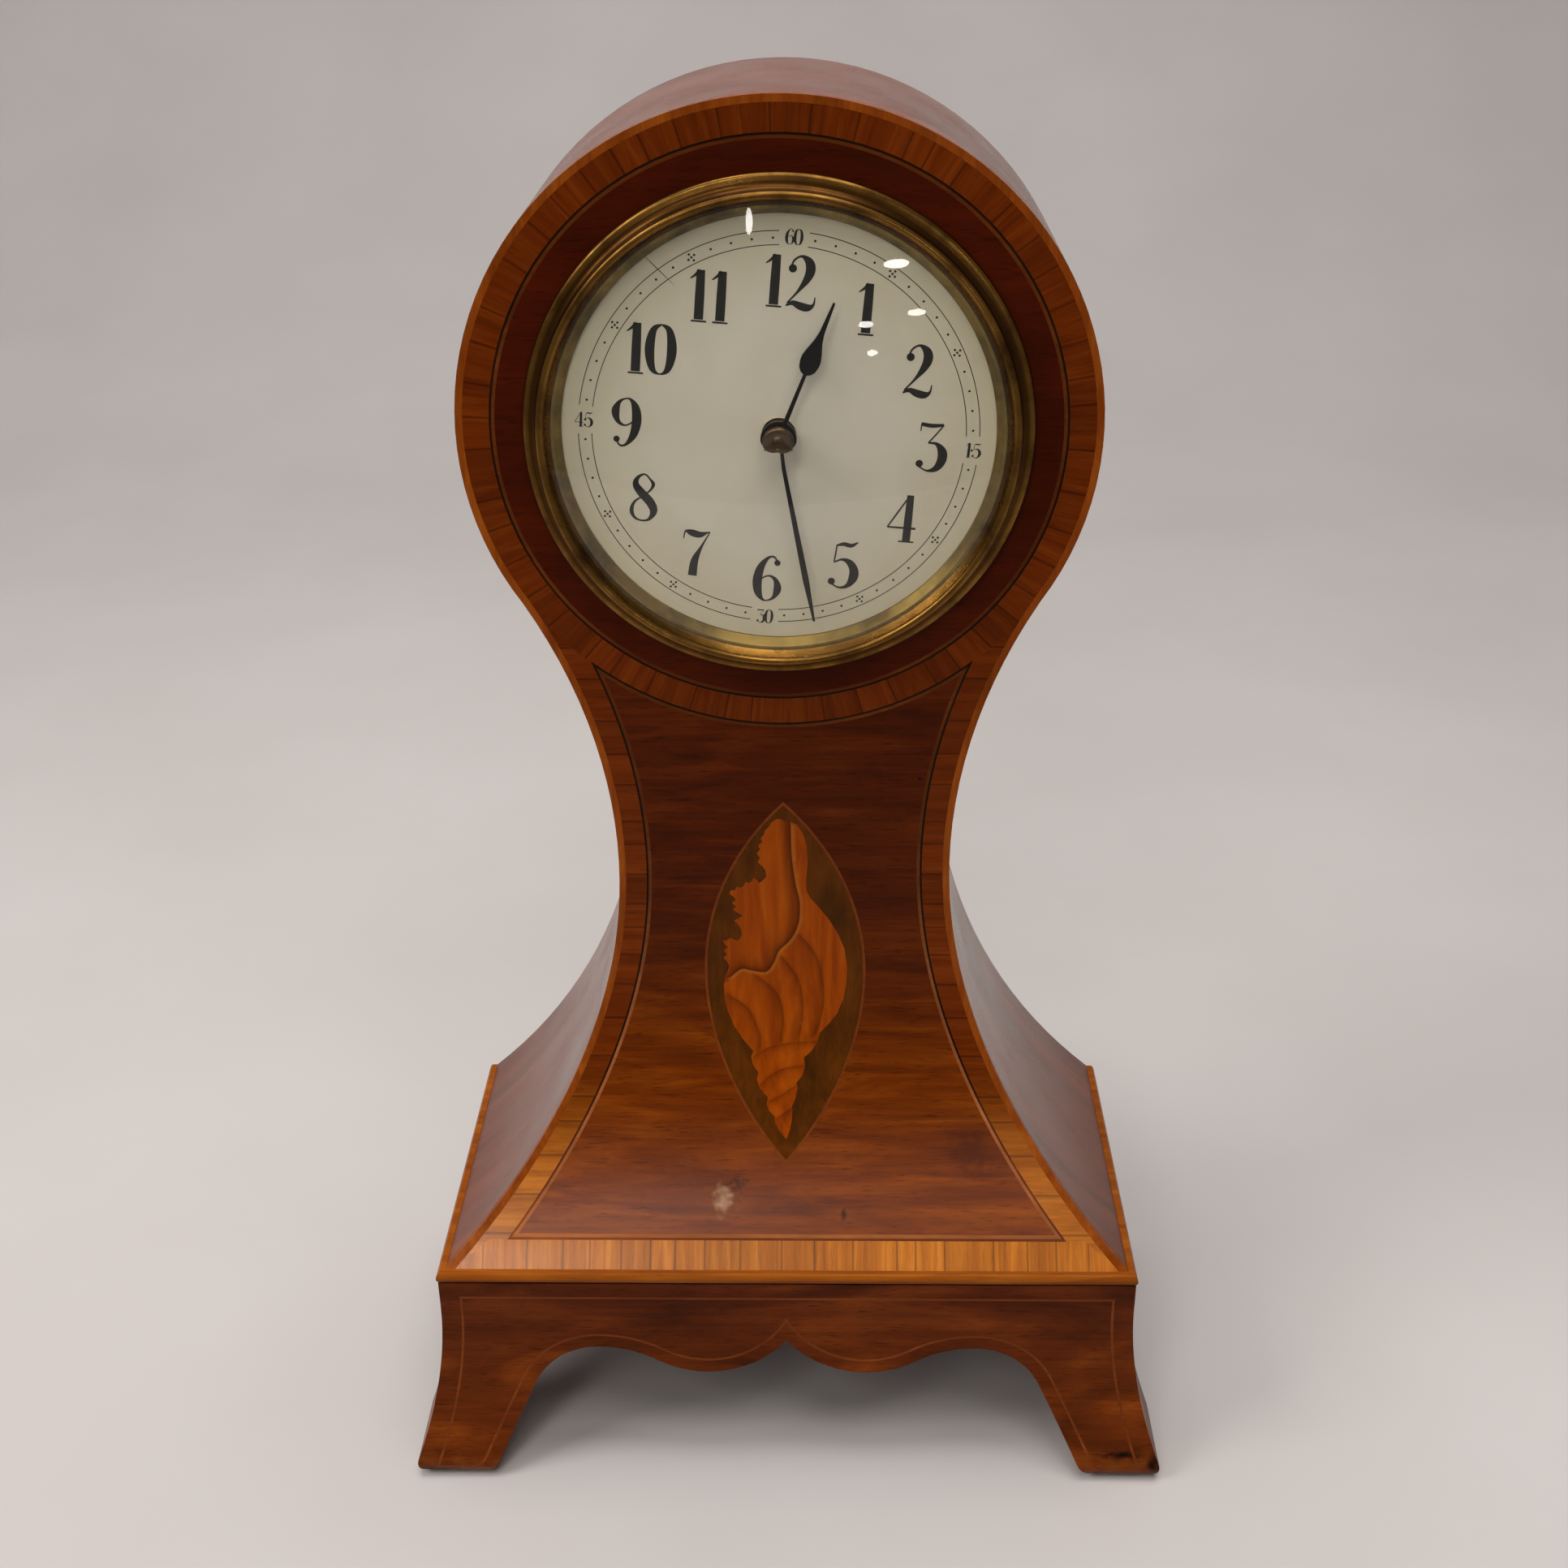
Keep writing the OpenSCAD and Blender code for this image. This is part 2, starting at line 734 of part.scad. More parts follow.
// The brass ring on the back of the case that the clamp screws pull forward
module rear_ring() {
    color(brass) difference() {
        union() {
            at_drum(ring_y, ring_y + ring_t) disc(48, can_r + run_gap);
            at_drum(ring_y, hinge_y) for (z = [-10.5, 5.5])
                translate([hinge_x - hinge_r, z]) square([2 * hinge_r, 5]);
            for (z = [-10.5, 5.5]) translate([hinge_x, front_y + hinge_y, drum_z + z])
                cylinder(r = hinge_r, h = 5);
        }
        translate([hinge_x, front_y + hinge_y, drum_z - 12]) cylinder(r = 0.6, h = 24);
        for (z = [-screw_ring_r, screw_ring_r]) translate([0, front_y + case_depth - 1, drum_z + z])
            rotate([-90, 0, 0]) cylinder(r = 1.05, h = 5);
    }
}

// Two long screws from the rear ring to the bezel
module clamp_screws() {
    color(steel) for (z = [-screw_ring_r, screw_ring_r]) difference() {
        union() {
            at_drum(0, ring_y + ring_t) translate([0, z]) circle(r = 1);
            at_drum(ring_y + ring_t, ring_y + ring_t + 1.4) translate([0, z]) circle(r = 2);
        }
        at_drum(ring_y + ring_t + 0.8, ring_y + ring_t + 2)
            translate([0, z]) square([6, 0.6], center = true);
    }
}

// The round dust door, a shallow pan with a knuckle at its left and a thumb piece
module rear_door() {
    color(brass) difference() {
        union() {
            about_drum() polygon([[0, door_y + door_t], [0, door_back_y], [32, door_back_y],
                [36, door_y + door_t], [39.4, door_y + door_t], [39.4, door_y], [34.6, door_y],
                [31, door_back_y - door_t], [0, door_back_y - door_t]]);
            at_drum(door_y, door_y + door_t) {
                translate([hinge_x, -5.2]) square([6, 10.4]);
                translate([38, -4]) square([4.5, 8]);
                translate([42.5, 0]) circle(r = 4);
            }
            translate([hinge_x, front_y + hinge_y, drum_z - 5.2]) cylinder(r = hinge_r, h = 10.4);
        }
        translate([hinge_x, front_y + hinge_y, drum_z - 12]) cylinder(r = 0.65, h = 24);
    }
}

module hinge_pin() {
    color(steel) translate([hinge_x, front_y + hinge_y, drum_z - 10.5]) cylinder(r = 0.6, h = 21);
}

// A pivot hole of radius r at each spot
module pivot_holes(spots) {
    for (s = spots) translate([s[0], s[1]]) circle(r = s[2] + run_gap);
}

function spot(at, r) = [at[0], at[1], r];

module front_plate() {
    color(brass) {
        at_drum(front_plate_y, front_plate_back) difference() {
            circle(r = can_r - 0.8);
            for (a = dial_feet) rotate(a) translate([30, 0]) circle(r = 0.8);
            pivot_holes([spot([0, 0], 1), spot(barrel_at, 1.5), spot(second_at, 0.5),
                spot(third_at, 0.5), spot(fourth_at, 0.4), spot(setting_at, 0.8)]);
        }
    }
}

module back_plate() {
    color(brass) at_drum(back_plate_y, back_plate_back) difference() {
        circle(r = plate_r);
        pivot_holes([spot([0, 0], 0.8), spot(barrel_at, 2), spot(second_at, 0.5),
            spot(third_at, 0.5), spot(fourth_at, 0.4), spot(setting_at, 0.8), spot(escape_at, 1.2)]);
        for (a = pillar_angles) rotate(a) translate([pillar_r, 0]) circle(r = 1);
    }
}

// Four turned pillars, necked at each end, with a screw head behind the back plate
module pillars() {
    color(brass) for (a = pillar_angles) about_drum(pillar_r * [cos(a), sin(a)])
        polygon([[0, front_plate_back], [2.2, front_plate_back], [2.2, front_plate_back + 2],
            [1.5, front_plate_back + 3], [1.5, back_plate_y - 3], [2.2, back_plate_y - 2],
            [2.2, back_plate_y], [1, back_plate_y], [1, back_plate_back], [2.4, back_plate_back],
            [2.4, back_plate_back + 1], [1.9, back_plate_back + 1.4], [0, back_plate_back + 1.4]]);
}

// The mainspring barrel, an open cup with the great wheel at its front edge
module barrel() {
    color(brass) translate([barrel_at[0], 0, barrel_at[1]]) {
        at_drum(15, 16.6) difference() {
            toothed(barrel_teeth, barrel_m, barrel_mesh);
            circle(r = 2.05);
        }
        at_drum(16.6, 25) disc(14.8, 14);
    }
}

module barrel_cover() {
    color(brass) translate([barrel_at[0], 0, barrel_at[1]]) at_drum(25, 26) disc(14.8, 2.05);
}

module mainspring() {
    color(steel) translate([barrel_at[0], 0, barrel_at[1]])
        at_drum(17, 24.6) spiral(5.2, 13.75, 7, 0.5);
}

module winding_arbor() {
    color(steel) translate([barrel_at[0], 0, barrel_at[1]]) {
        at_drum(front_plate_y, 13.5) circle(r = 1.5);
        at_drum(13.5, 17) circle(r = 2);
        at_drum(17, 24.6) circle(r = 4.6);
        at_drum(24.6, back_plate_back + 0.2) circle(r = 2);
        at_drum(back_plate_back + 0.2, square_end_y) square(2.8, center = true);
    }
}

// Saw-toothed wheel on the winding square
module ratchet_wheel() {
    teeth = 20;
    color(steel) translate([barrel_at[0], 0, barrel_at[1]]) at_drum(32.6, 34.2) difference() {
        polygon([for (i = [0 : teeth - 1]) for (p = [[5.2, 0], [6.2, 0.92]])
            p[0] * [cos((i + p[1]) * 360 / teeth), sin((i + p[1]) * 360 / teeth)]]);
        square(2.8, center = true);
    }
}

// The click, shown lifted clear of the ratchet
module click() {
    color(steel) difference() {
        at_drum(32.6, 34.2) translate(click_at) {
            circle(r = 1.8);
            rotate(250) polygon([[0, -1.8], [4.6, -1], [6, -0.4], [6.2, 0.4], [0, 1.8]]);
        }
        at_drum(30, 36) translate(click_at) circle(r = 0.85);
    }
    color(steel) at_drum(32.1, 32.6) translate(click_at) disc(1.6, 0.85);
}

// A bent steel strip that presses on the click, and its foot screw
module click_spring() {
    color(steel) translate([click_at[0], 0, click_at[1]]) {
        at_drum(back_plate_back, 34.8) circle(r = 0.8);
        at_drum(34.3, 34.8) circle(r = 1.6);
        at_drum(back_plate_back, 33.6) translate([8.77, 2.92]) circle(r = 1.5);
        at_drum(32.7, 33.6) polygon([[9.54, 2.0], [8.75, 2.64], [2.32, -1.84], [1.07, -3.15],
            [1.33, -3.45], [2.8, -2.09]]);
    }
}

// An arbor along the drum's axis, stepped to its pivots: [y, r] pairs
module arbor(at, steps) {
    translate([at[0], 0, at[1]]) for (i = [0 : len(steps) - 2])
        at_drum(steps[i][0], steps[i + 1][0]) circle(r = steps[i][1]);
}

module second_wheel() {
    color(brass) {
        arbor(second_at, [[front_plate_y, 0.5], [12.4, 0.8], [29.6, 0.5], [back_plate_back, 0]]);
        translate([second_at[0], 0, second_at[1]]) {
            at_drum(14.7, 17) toothed(second_pinion, barrel_m, second_pinion_mesh);
            at_drum(27, 28) crossed(second_teeth, second_m, second_mesh, 2.6, 4, 1.4);
        }
    }
}

module centre_wheel() {
    color(brass) {
        arbor([0, 0], [[minute_hand_y + 0.4, 1], [12.3, 1.3], [26, 1], [29.6, 0.8], [back_plate_back, 0]]);
        at_drum(13, 14.2) crossed(centre_teeth, centre_m, third_angle, 2.8, 4, 1.5);
        at_drum(26.5, 28.5) toothed(centre_pinion, second_m, centre_pinion_mesh);
    }
}

module third_wheel() {
    color(brass) {
        arbor(third_at, [[front_plate_y, 0.5], [12.3, 0.7], [29.6, 0.5], [back_plate_back, 0]]);
        translate([third_at[0], 0, third_at[1]]) {
            at_drum(12.7, 14.6) toothed(third_pinion, centre_m, third_pinion_mesh);
            at_drum(20, 21) crossed(third_teeth, third_m, fourth_angle, 2.2, 4, 1.2);
        }
    }
}

module fourth_wheel() {
    color(brass) {
        arbor(fourth_at, [[front_plate_y, 0.4], [12.3, 0.6], [29.6, 0.4], [back_plate_back, 0]]);
        translate([fourth_at[0], 0, fourth_at[1]]) {
            at_drum(19.6, 21.4) toothed(fourth_pinion, third_m, fourth_pinion_mesh);
            at_drum(28.4, 29.2) crossed(fourth_teeth, fourth_m, escape_angle, 1.9, 4, 1);
        }
    }
}

// The plate of the escapement platform, screwed behind the back plate
module platform() {
    color(brass) at_drum(platform_y, platform_y + 1.6) difference() {
        union() {
            translate(escape_at) circle(r = 5.4);
            translate(bridge_foot) circle(r = 1.6);
            translate(balance_at) circle(r = 8.2);
            translate([escape_at[0], escape_at[1] - 5.4]) square([12, 10.8]);
            translate([balance_at[0] - 2, escape_at[1]]) square([12, 8.2]);
        }
        translate(escape_at) circle(r = 1.25);
        translate(lever_at) circle(r = 0.4);
        translate(balance_at) circle(r = 0.4);
    }
}

module escape_wheel() {
    teeth = 15;
    club = [[3.1, 0], [4.1, 0.34], [4.25, 0.5], [3.1, 0.2]];
    color(steel) {
        arbor(escape_at, [[27, 0.4], [28, 0.6], [36, 0.35], [36.9, 0]]);
        translate([escape_at[0], 0, escape_at[1]]) {
            at_drum(28.1, 29.5) toothed(escape_pinion, fourth_m, escape_pinion_mesh);
            at_drum(34.4, 34.9) {
                polygon([for (i = [0 : teeth - 1]) for (p = club)
                    p[0] * [cos((i + p[1]) * 360 / teeth), sin((i + p[1]) * 360 / teeth)]]);
            }
        }
    }
}

// The little cock under the back plate that holds the escape wheel's front pivot
module escape_potence() {
    foot = escape_at + 3.4 * [cos(escape_angle), sin(escape_angle)];
    color(brass) {
        at_drum(28, back_plate_y) translate(foot) circle(r = 1.2);
        at_drum(27, 28) difference() {
            union() {
                translate(foot) circle(r = 1.2);
                translate(escape_at) circle(r = 1.2);
                translate(escape_at) rotate(escape_angle) translate([0, -1.2]) square([3.4, 2.4]);
            }
            translate(escape_at) circle(r = 0.45);
        }
    }
}

// The bridge over the escape wheel and the lever, on a foot at the left of the platform
module lever_bridge() {
    color(brass) {
        at_drum(platform_y + 1.6, 36.1) translate(bridge_foot) circle(r = 1.4);
        at_drum(36.1, 36.9) difference() {
            union() {
                for (at = [bridge_foot, lever_at]) translate(at) circle(r = 1.4);
                translate([bridge_foot[0], escape_at[1] - 1.4]) square([lever_at[0] - bridge_foot[0], 2.8]);
            }
            for (at = [escape_at, lever_at]) translate(at) circle(r = 0.4);
        }
    }
}

// The lever: a forked steel arm on its own pivot between escape wheel and balance
module pallet_lever() {
    color(steel) {
        arbor(lever_at, [[32.4, 0.35], [33.8, 0.5], [36, 0.35], [36.9, 0]]);
        at_drum(35.2, 35.9) translate(lever_at) {
            circle(r = 1.2);
            translate([0, -0.35]) square([4.2, 0.7]);
            translate([3.8, -1]) square([0.5, 2]);
            translate([4.2, 0.5]) square([0.9, 0.5]);
            translate([4.2, -1]) square([0.9, 0.5]);
            translate([-1.3, -3.2]) square([1.3, 6.4]);
        }
    }
}

module balance_wheel() {
    color(brass) {
        arbor(balance_at, [[32.4, 0.35], [33.8, 0.6], [39.9, 0.35], [42.0, 0]]);
        at_drum(37.2, 38.4) translate(balance_at) {
            disc(7, 6.1);
            translate([-0.5, -6.4]) square([1, 12.8]);
            circle(r = 1.4);
        }
        at_drum(38.9, 39.5) translate(balance_at) circle(r = 1);
        at_drum(35.2, 36.0) translate(balance_at) translate([-0.9, 0]) circle(r = 0.25);
        at_drum(36.0, 36.4) translate(balance_at) circle(r = 1.3);
    }
}

module hairspring() {
    color(blue_steel) translate([balance_at[0], 0, balance_at[1]])
        at_drum(39.0, 39.4) rotate(cock_angle) spiral(1.1, 4.6, 8, 0.12);
}

// The cock over the balance, with the hairspring's stud, on a foot at the platform's right
module balance_cock() {
    foot = balance_at + 9.5 * [cos(cock_angle), sin(cock_angle)];
    color(brass) {
        at_drum(platform_y + 1.6, 40.4) translate(foot) circle(r = 1.7);
        at_drum(39.0, 40.4) translate(balance_at) rotate(cock_angle)
            translate([4.5, -0.3]) square([0.9, 0.6]);
        at_drum(40.4, 41.9) difference() {
            union() {
                translate(balance_at) circle(r = 2.6);
                translate(foot) circle(r = 1.7);
                translate(balance_at) rotate(cock_angle) translate([0, -1.7]) square([9.5, 3.4]);
            }
            translate(balance_at) circle(r = 0.4);
        }
        at_drum(41.9, 42.8) translate(balance_at) disc(0.93, 0.4);
    }
}

// The regulator index, a steel lever that swings on the cock
module regulator() {
    color(steel) at_drum(42.0, 42.6) translate(balance_at) {
        disc(2, 1.0);
        rotate(200) translate([1.2, -0.4]) square([7, 0.8]);
    }
}

module cannon_pinion() {
    color(steel) {
        at_drum(6.6, 8.4) difference() {
            toothed(cannon_teeth, minute_m, setting_angle);
            circle(r = 1.02);
        }
        at_drum(minute_hand_y, 9.4) disc(1.9, 1.02);
    }
}

// The minute wheel and its pinion, on the hand-setting arbor that runs to the back
module minute_wheel() {
    color(brass) {
        arbor(setting_at, [[3.9, 0.8], [square_end_y, 0]]);
        translate([setting_at[0], 0, setting_at[1]]) {
            at_drum(6.8, 8.0) crossed(minute_teeth, minute_m, minute_mesh, 2.8, 4, 1.4);
            at_drum(3.9, 5.6) toothed(minute_pinion, hour_m, minute_pinion_mesh);
        }
    }
}

module hour_wheel() {
    color(brass) {
        at_drum(4.2, 5.4) difference() {
            crossed(hour_teeth, hour_m, setting_angle, 3.4, 4, 1.6);
            circle(r = 1.95);
        }
        at_drum(hour_hand_y, 5.4) disc(2.6, 1.95);
    }
}

// Both hands are drawn pointing up, then turned to the time
module hour_hand() {
    leaf = hour_len * 0.585;
    color(blue_steel) at_drum(hour_hand_y - 0.5, hour_hand_y) rotate(-hour_angle) difference() {
        union() {
            circle(r = 3.1);
            side = [[0.4, 2], [0.3, leaf - 2.6], [0.9, leaf - 2.3], [1.45, leaf - 1.6],
                [1.7, leaf - 0.5], [1.7, leaf + 0.4], [1.35, leaf + 1.7], [0.75, leaf + 3.4],
                [0.45, leaf + 5], [0.2, hour_len]];
            polygon(concat(side, [for (i = [len(side) - 1 : -1 : 0]) [-side[i][0], side[i][1]]]));
        }
        circle(r = 1.95);
    }
}

module minute_hand() {
    color(blue_steel) at_drum(minute_hand_y - 0.5, minute_hand_y) rotate(-minute_angle) difference() {
        union() {
            circle(r = 2.4);
            polygon([[0.3, 1.5], [0.55, minute_len * 0.76], [0.2, minute_len], [-0.2, minute_len],
                [-0.55, minute_len * 0.76], [-0.3, 1.5]]);
        }
        circle(r = 1.02);
    }
}

// The domed collet that holds the hands on
module hand_boss() {
    boss_r = 2.8;
    rise = 1.6;
    dome = (boss_r * boss_r + rise * rise) / (2 * rise);
    color([0.35, 0.27, 0.18]) about_drum() intersection() {
        translate([0, minute_hand_y - 0.5 - rise + dome]) circle(r = dome);
        translate([0, minute_hand_y - 0.5 - rise]) square([boss_r + 1, rise]);
    }
}

module set_knob() {
    color(brass) difference() {
        about_drum(setting_at) polygon([[0, 39.6], [4.4, 39.6], [4.9, 40.1], [4.9, 42.8], [4.4, 43.3],
            [2, 43.3], [2, 43.9], [0, 43.9]]);
        at_drum(39, 45) translate(setting_at) circle(r = 0.8);
    }
}

front_board();
side_band();
back_board();
base_board();
boxwood_edge();
crossbanding();
ebony_lines();
boxwood_lines();
dial_surround();
waist_veneer();
oval_border();
oval_ground();
shell_inlay();
base_bead();
front_apron();
left_apron();
right_apron();
rear_rail();
apron_line();
corner_blocks();
plinth_screws();
drum_case();
bezel();
glass();
sight_ring();
dial();
rear_ring();
clamp_screws();
rear_door();
hinge_pin();
front_plate();
back_plate();
pillars();
barrel();
barrel_cover();
mainspring();
winding_arbor();
ratchet_wheel();
click();
click_spring();
second_wheel();
centre_wheel();
third_wheel();
fourth_wheel();
platform();
escape_wheel();
escape_potence();
pallet_lever();
lever_bridge();
balance_wheel();
hairspring();
balance_cock();
regulator();
cannon_pinion();
minute_wheel();
hour_wheel();
hour_hand();
minute_hand();
hand_boss();
set_knob();
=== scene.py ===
import bmesh
import bpy
import math
from mathutils import Matrix, Vector
from mathutils.geometry import delaunay_2d_cdt


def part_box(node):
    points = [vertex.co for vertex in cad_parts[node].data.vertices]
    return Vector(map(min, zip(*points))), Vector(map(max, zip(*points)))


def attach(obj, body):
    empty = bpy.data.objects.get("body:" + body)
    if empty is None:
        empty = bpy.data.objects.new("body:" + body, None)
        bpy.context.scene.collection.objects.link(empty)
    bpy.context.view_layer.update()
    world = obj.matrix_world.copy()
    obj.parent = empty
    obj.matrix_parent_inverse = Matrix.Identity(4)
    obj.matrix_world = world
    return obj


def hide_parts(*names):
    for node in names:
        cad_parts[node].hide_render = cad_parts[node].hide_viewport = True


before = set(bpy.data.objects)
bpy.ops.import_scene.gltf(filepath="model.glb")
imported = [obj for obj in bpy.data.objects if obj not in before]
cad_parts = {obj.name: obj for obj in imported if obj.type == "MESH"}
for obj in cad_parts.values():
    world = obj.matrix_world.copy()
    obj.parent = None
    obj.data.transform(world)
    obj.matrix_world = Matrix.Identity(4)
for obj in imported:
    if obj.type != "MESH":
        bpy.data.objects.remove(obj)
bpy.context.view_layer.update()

# The viewpoint: a little above the clock, looking down at it from the front with a
# short telephoto, turned and tipped by about a degree.
camera = bpy.data.objects.new("camera", bpy.data.cameras.new("camera"))
bpy.context.scene.collection.objects.link(camera)
camera.data.sensor_width = 36
camera.data.lens = 44.72
camera.data.clip_start = 0.01
camera_place = (0.00784, -0.33663, 0.3129)
down, turn, tip = math.radians(27.1), math.radians(1.34), math.radians(0.66)
flat_right = Vector((math.cos(turn), math.sin(turn), 0))
flat_ahead = Vector((-math.sin(turn), math.cos(turn), 0))
ahead = math.cos(down) * flat_ahead - math.sin(down) * Vector((0, 0, 1))
level_up = math.sin(down) * flat_ahead + math.cos(down) * Vector((0, 0, 1))
right = math.cos(tip) * flat_right - math.sin(tip) * level_up
up = math.sin(tip) * flat_right + math.cos(tip) * level_up
facing = Matrix((right, up, -ahead)).transposed().to_4x4()
camera.matrix_world = Matrix.Translation(camera_place) @ facing
bpy.context.scene.camera = camera
bpy.context.scene.view_settings.view_transform = "Standard"


# Plain soft studio light: a broad panel above, a stronger one high on the left, one high in
# front and a small one just left of the camera, whose reflection lies on the left of the
# swept foot. The five glints are small lamps that mirror as bright streaks in the glass.
target = Vector((0, 0, 0.12))
for name, place, size, power in (
        ("overhead_panel", (0.0, 0.05, 1.15), (0.8, 0.6), 7.9),
        ("left_panel", (-0.85, -0.35, 0.95), (0.5, 0.5), 5.0),
        ("front_panel", (0.10, -0.62, 1.25), (0.5, 0.4), 3.2),
        ("shoulder_panel", (-0.31, -0.88, 0.88), (0.2, 0.4), 2.0),
        ("high_glint", (0.426, -1.215, 0.519), (0.10, 0.034), 0.26),
        ("right_glint", (0.501, -1.216, 0.336), (0.07, 0.026), 0.11),
        ("middle_glint", (0.297, -1.217, 0.300), (0.055, 0.024), 0.10),
        ("low_glint", (0.321, -1.218, 0.196), (0.04, 0.022), 0.05),
        ("top_glint", (-0.130, -1.215, 0.672), (0.026, 0.08), 0.14)):
    lamp = bpy.data.objects.new(name, bpy.data.lights.new(name, "AREA"))
    lamp.data.shape = "RECTANGLE" if "panel" in name else "ELLIPSE"
    lamp.data.size, lamp.data.size_y = size
    lamp.data.energy = power
    lamp.data.color = (1.0, 0.965, 0.93)
    lamp.location = place
    lamp.rotation_euler = (Vector(place) - target).to_track_quat("Z", "Y").to_euler()
    bpy.context.scene.collection.objects.link(lamp)


# What surrounds the clock: a pale grey where it is seen straight on, in a polished face
# or through the glass, and nearly dark as a light.
def feed(node, links):
    """Sets inputs, by name or number, to a plain value, a socket, or a node's first open output."""
    for key, value in links.items():
        if isinstance(value, bpy.types.Node):
            value = next(output for output in value.outputs if output.enabled)
        if isinstance(value, bpy.types.NodeSocket):
            node.id_data.links.new(value, node.inputs[key])
        else:
            node.inputs[key].default_value = value
    return node


def add(tree, kind, links=None, **settings):
    """Adds a node with its settings and what feeds it."""
    node = tree.nodes.new(kind)
    for key, value in settings.items():
        setattr(node, key, value)
    return feed(node, links or {})


world = bpy.data.worlds.new("studio")
bpy.context.scene.world = world
world.use_nodes = True
studio = world.node_tree
pale = feed(studio.nodes["Background"], {"Color": (0.28, 0.27, 0.265, 1)})
dim = add(studio, "ShaderNodeBackground", {"Color": (0.035, 0.034, 0.033, 1)})
ray = add(studio, "ShaderNodeLightPath").outputs
seen = ray["Is Camera Ray"]
for way in ("Is Glossy Ray", "Is Transmission Ray"):
    seen = add(studio, "ShaderNodeMath", {0: seen, 1: ray[way]}, operation="MAXIMUM")
shown = add(studio, "ShaderNodeMixShader", {0: seen, 1: dim, 2: pale})
feed(studio.nodes["World Output"], {"Surface": shown})


# The pale cotton-covered table and the wall behind it, one sheet with a wide curve
# between them, so that there is no hard line behind the clock.
def linear(hex_colour):
    parts = [int(hex_colour[i:i + 2], 16) / 255 for i in (0, 2, 4)]
    return tuple(p / 12.92 if p <= 0.04045 else ((p + 0.055) / 1.055) ** 2.4 for p in parts) + (1.0,)


def new_material(name):
    """A new material, with its node tree, its shader and the place on the piece in metres."""
    material = bpy.data.materials.new(name)
    material.use_nodes = True
    tree = material.node_tree
    return material, tree, tree.nodes["Principled BSDF"], add(tree, "ShaderNodeTexCoord").outputs["Object"]


def plain_mesh(name, corners, faces, material, smooth=False):
    mesh = bpy.data.meshes.new(name)
    mesh.from_pydata([tuple(c) for c in corners], [], faces)
    mesh.materials.append(material)
    if smooth:
        mesh.shade_smooth()
    mesh.update()
    piece = bpy.data.objects.new(name, mesh)
    bpy.context.scene.collection.objects.link(piece)
    return piece


half_width, curve_start, curve_radius = 2.2, 0.55, 0.5
profile = [(-0.42, 0.0)]
for degrees in range(0, 91, 6):
    back = curve_radius * math.sin(math.radians(degrees))
    profile.append((curve_start + back, curve_radius - curve_radius * math.cos(math.radians(degrees))))
profile.append((curve_start + curve_radius, 2.4))
cotton, tree, shader, place = new_material("pale_cotton_cover")
# Broad soft patches about 0.1 m wide, where the cloth has washed unevenly
patches = add(tree, "ShaderNodeTexNoise", {"Vector": place, "Scale": 9.0, "Detail": 5.0})
tone = add(tree, "ShaderNodeMix", {0: patches, 6: linear("C9C3C1"), 7: linear("D8D4D3")}, data_type="RGBA")
feed(shader, {"Base Color": tone, "Roughness": 0.9})
corners = [(x, y, z) for y, z in profile for x in (-half_width, half_width)]
faces = [(2 * i, 2 * i + 1, 2 * i + 3, 2 * i + 2) for i in range(len(profile) - 1)]
backdrop = plain_mesh("backdrop", corners, faces, cotton, True)


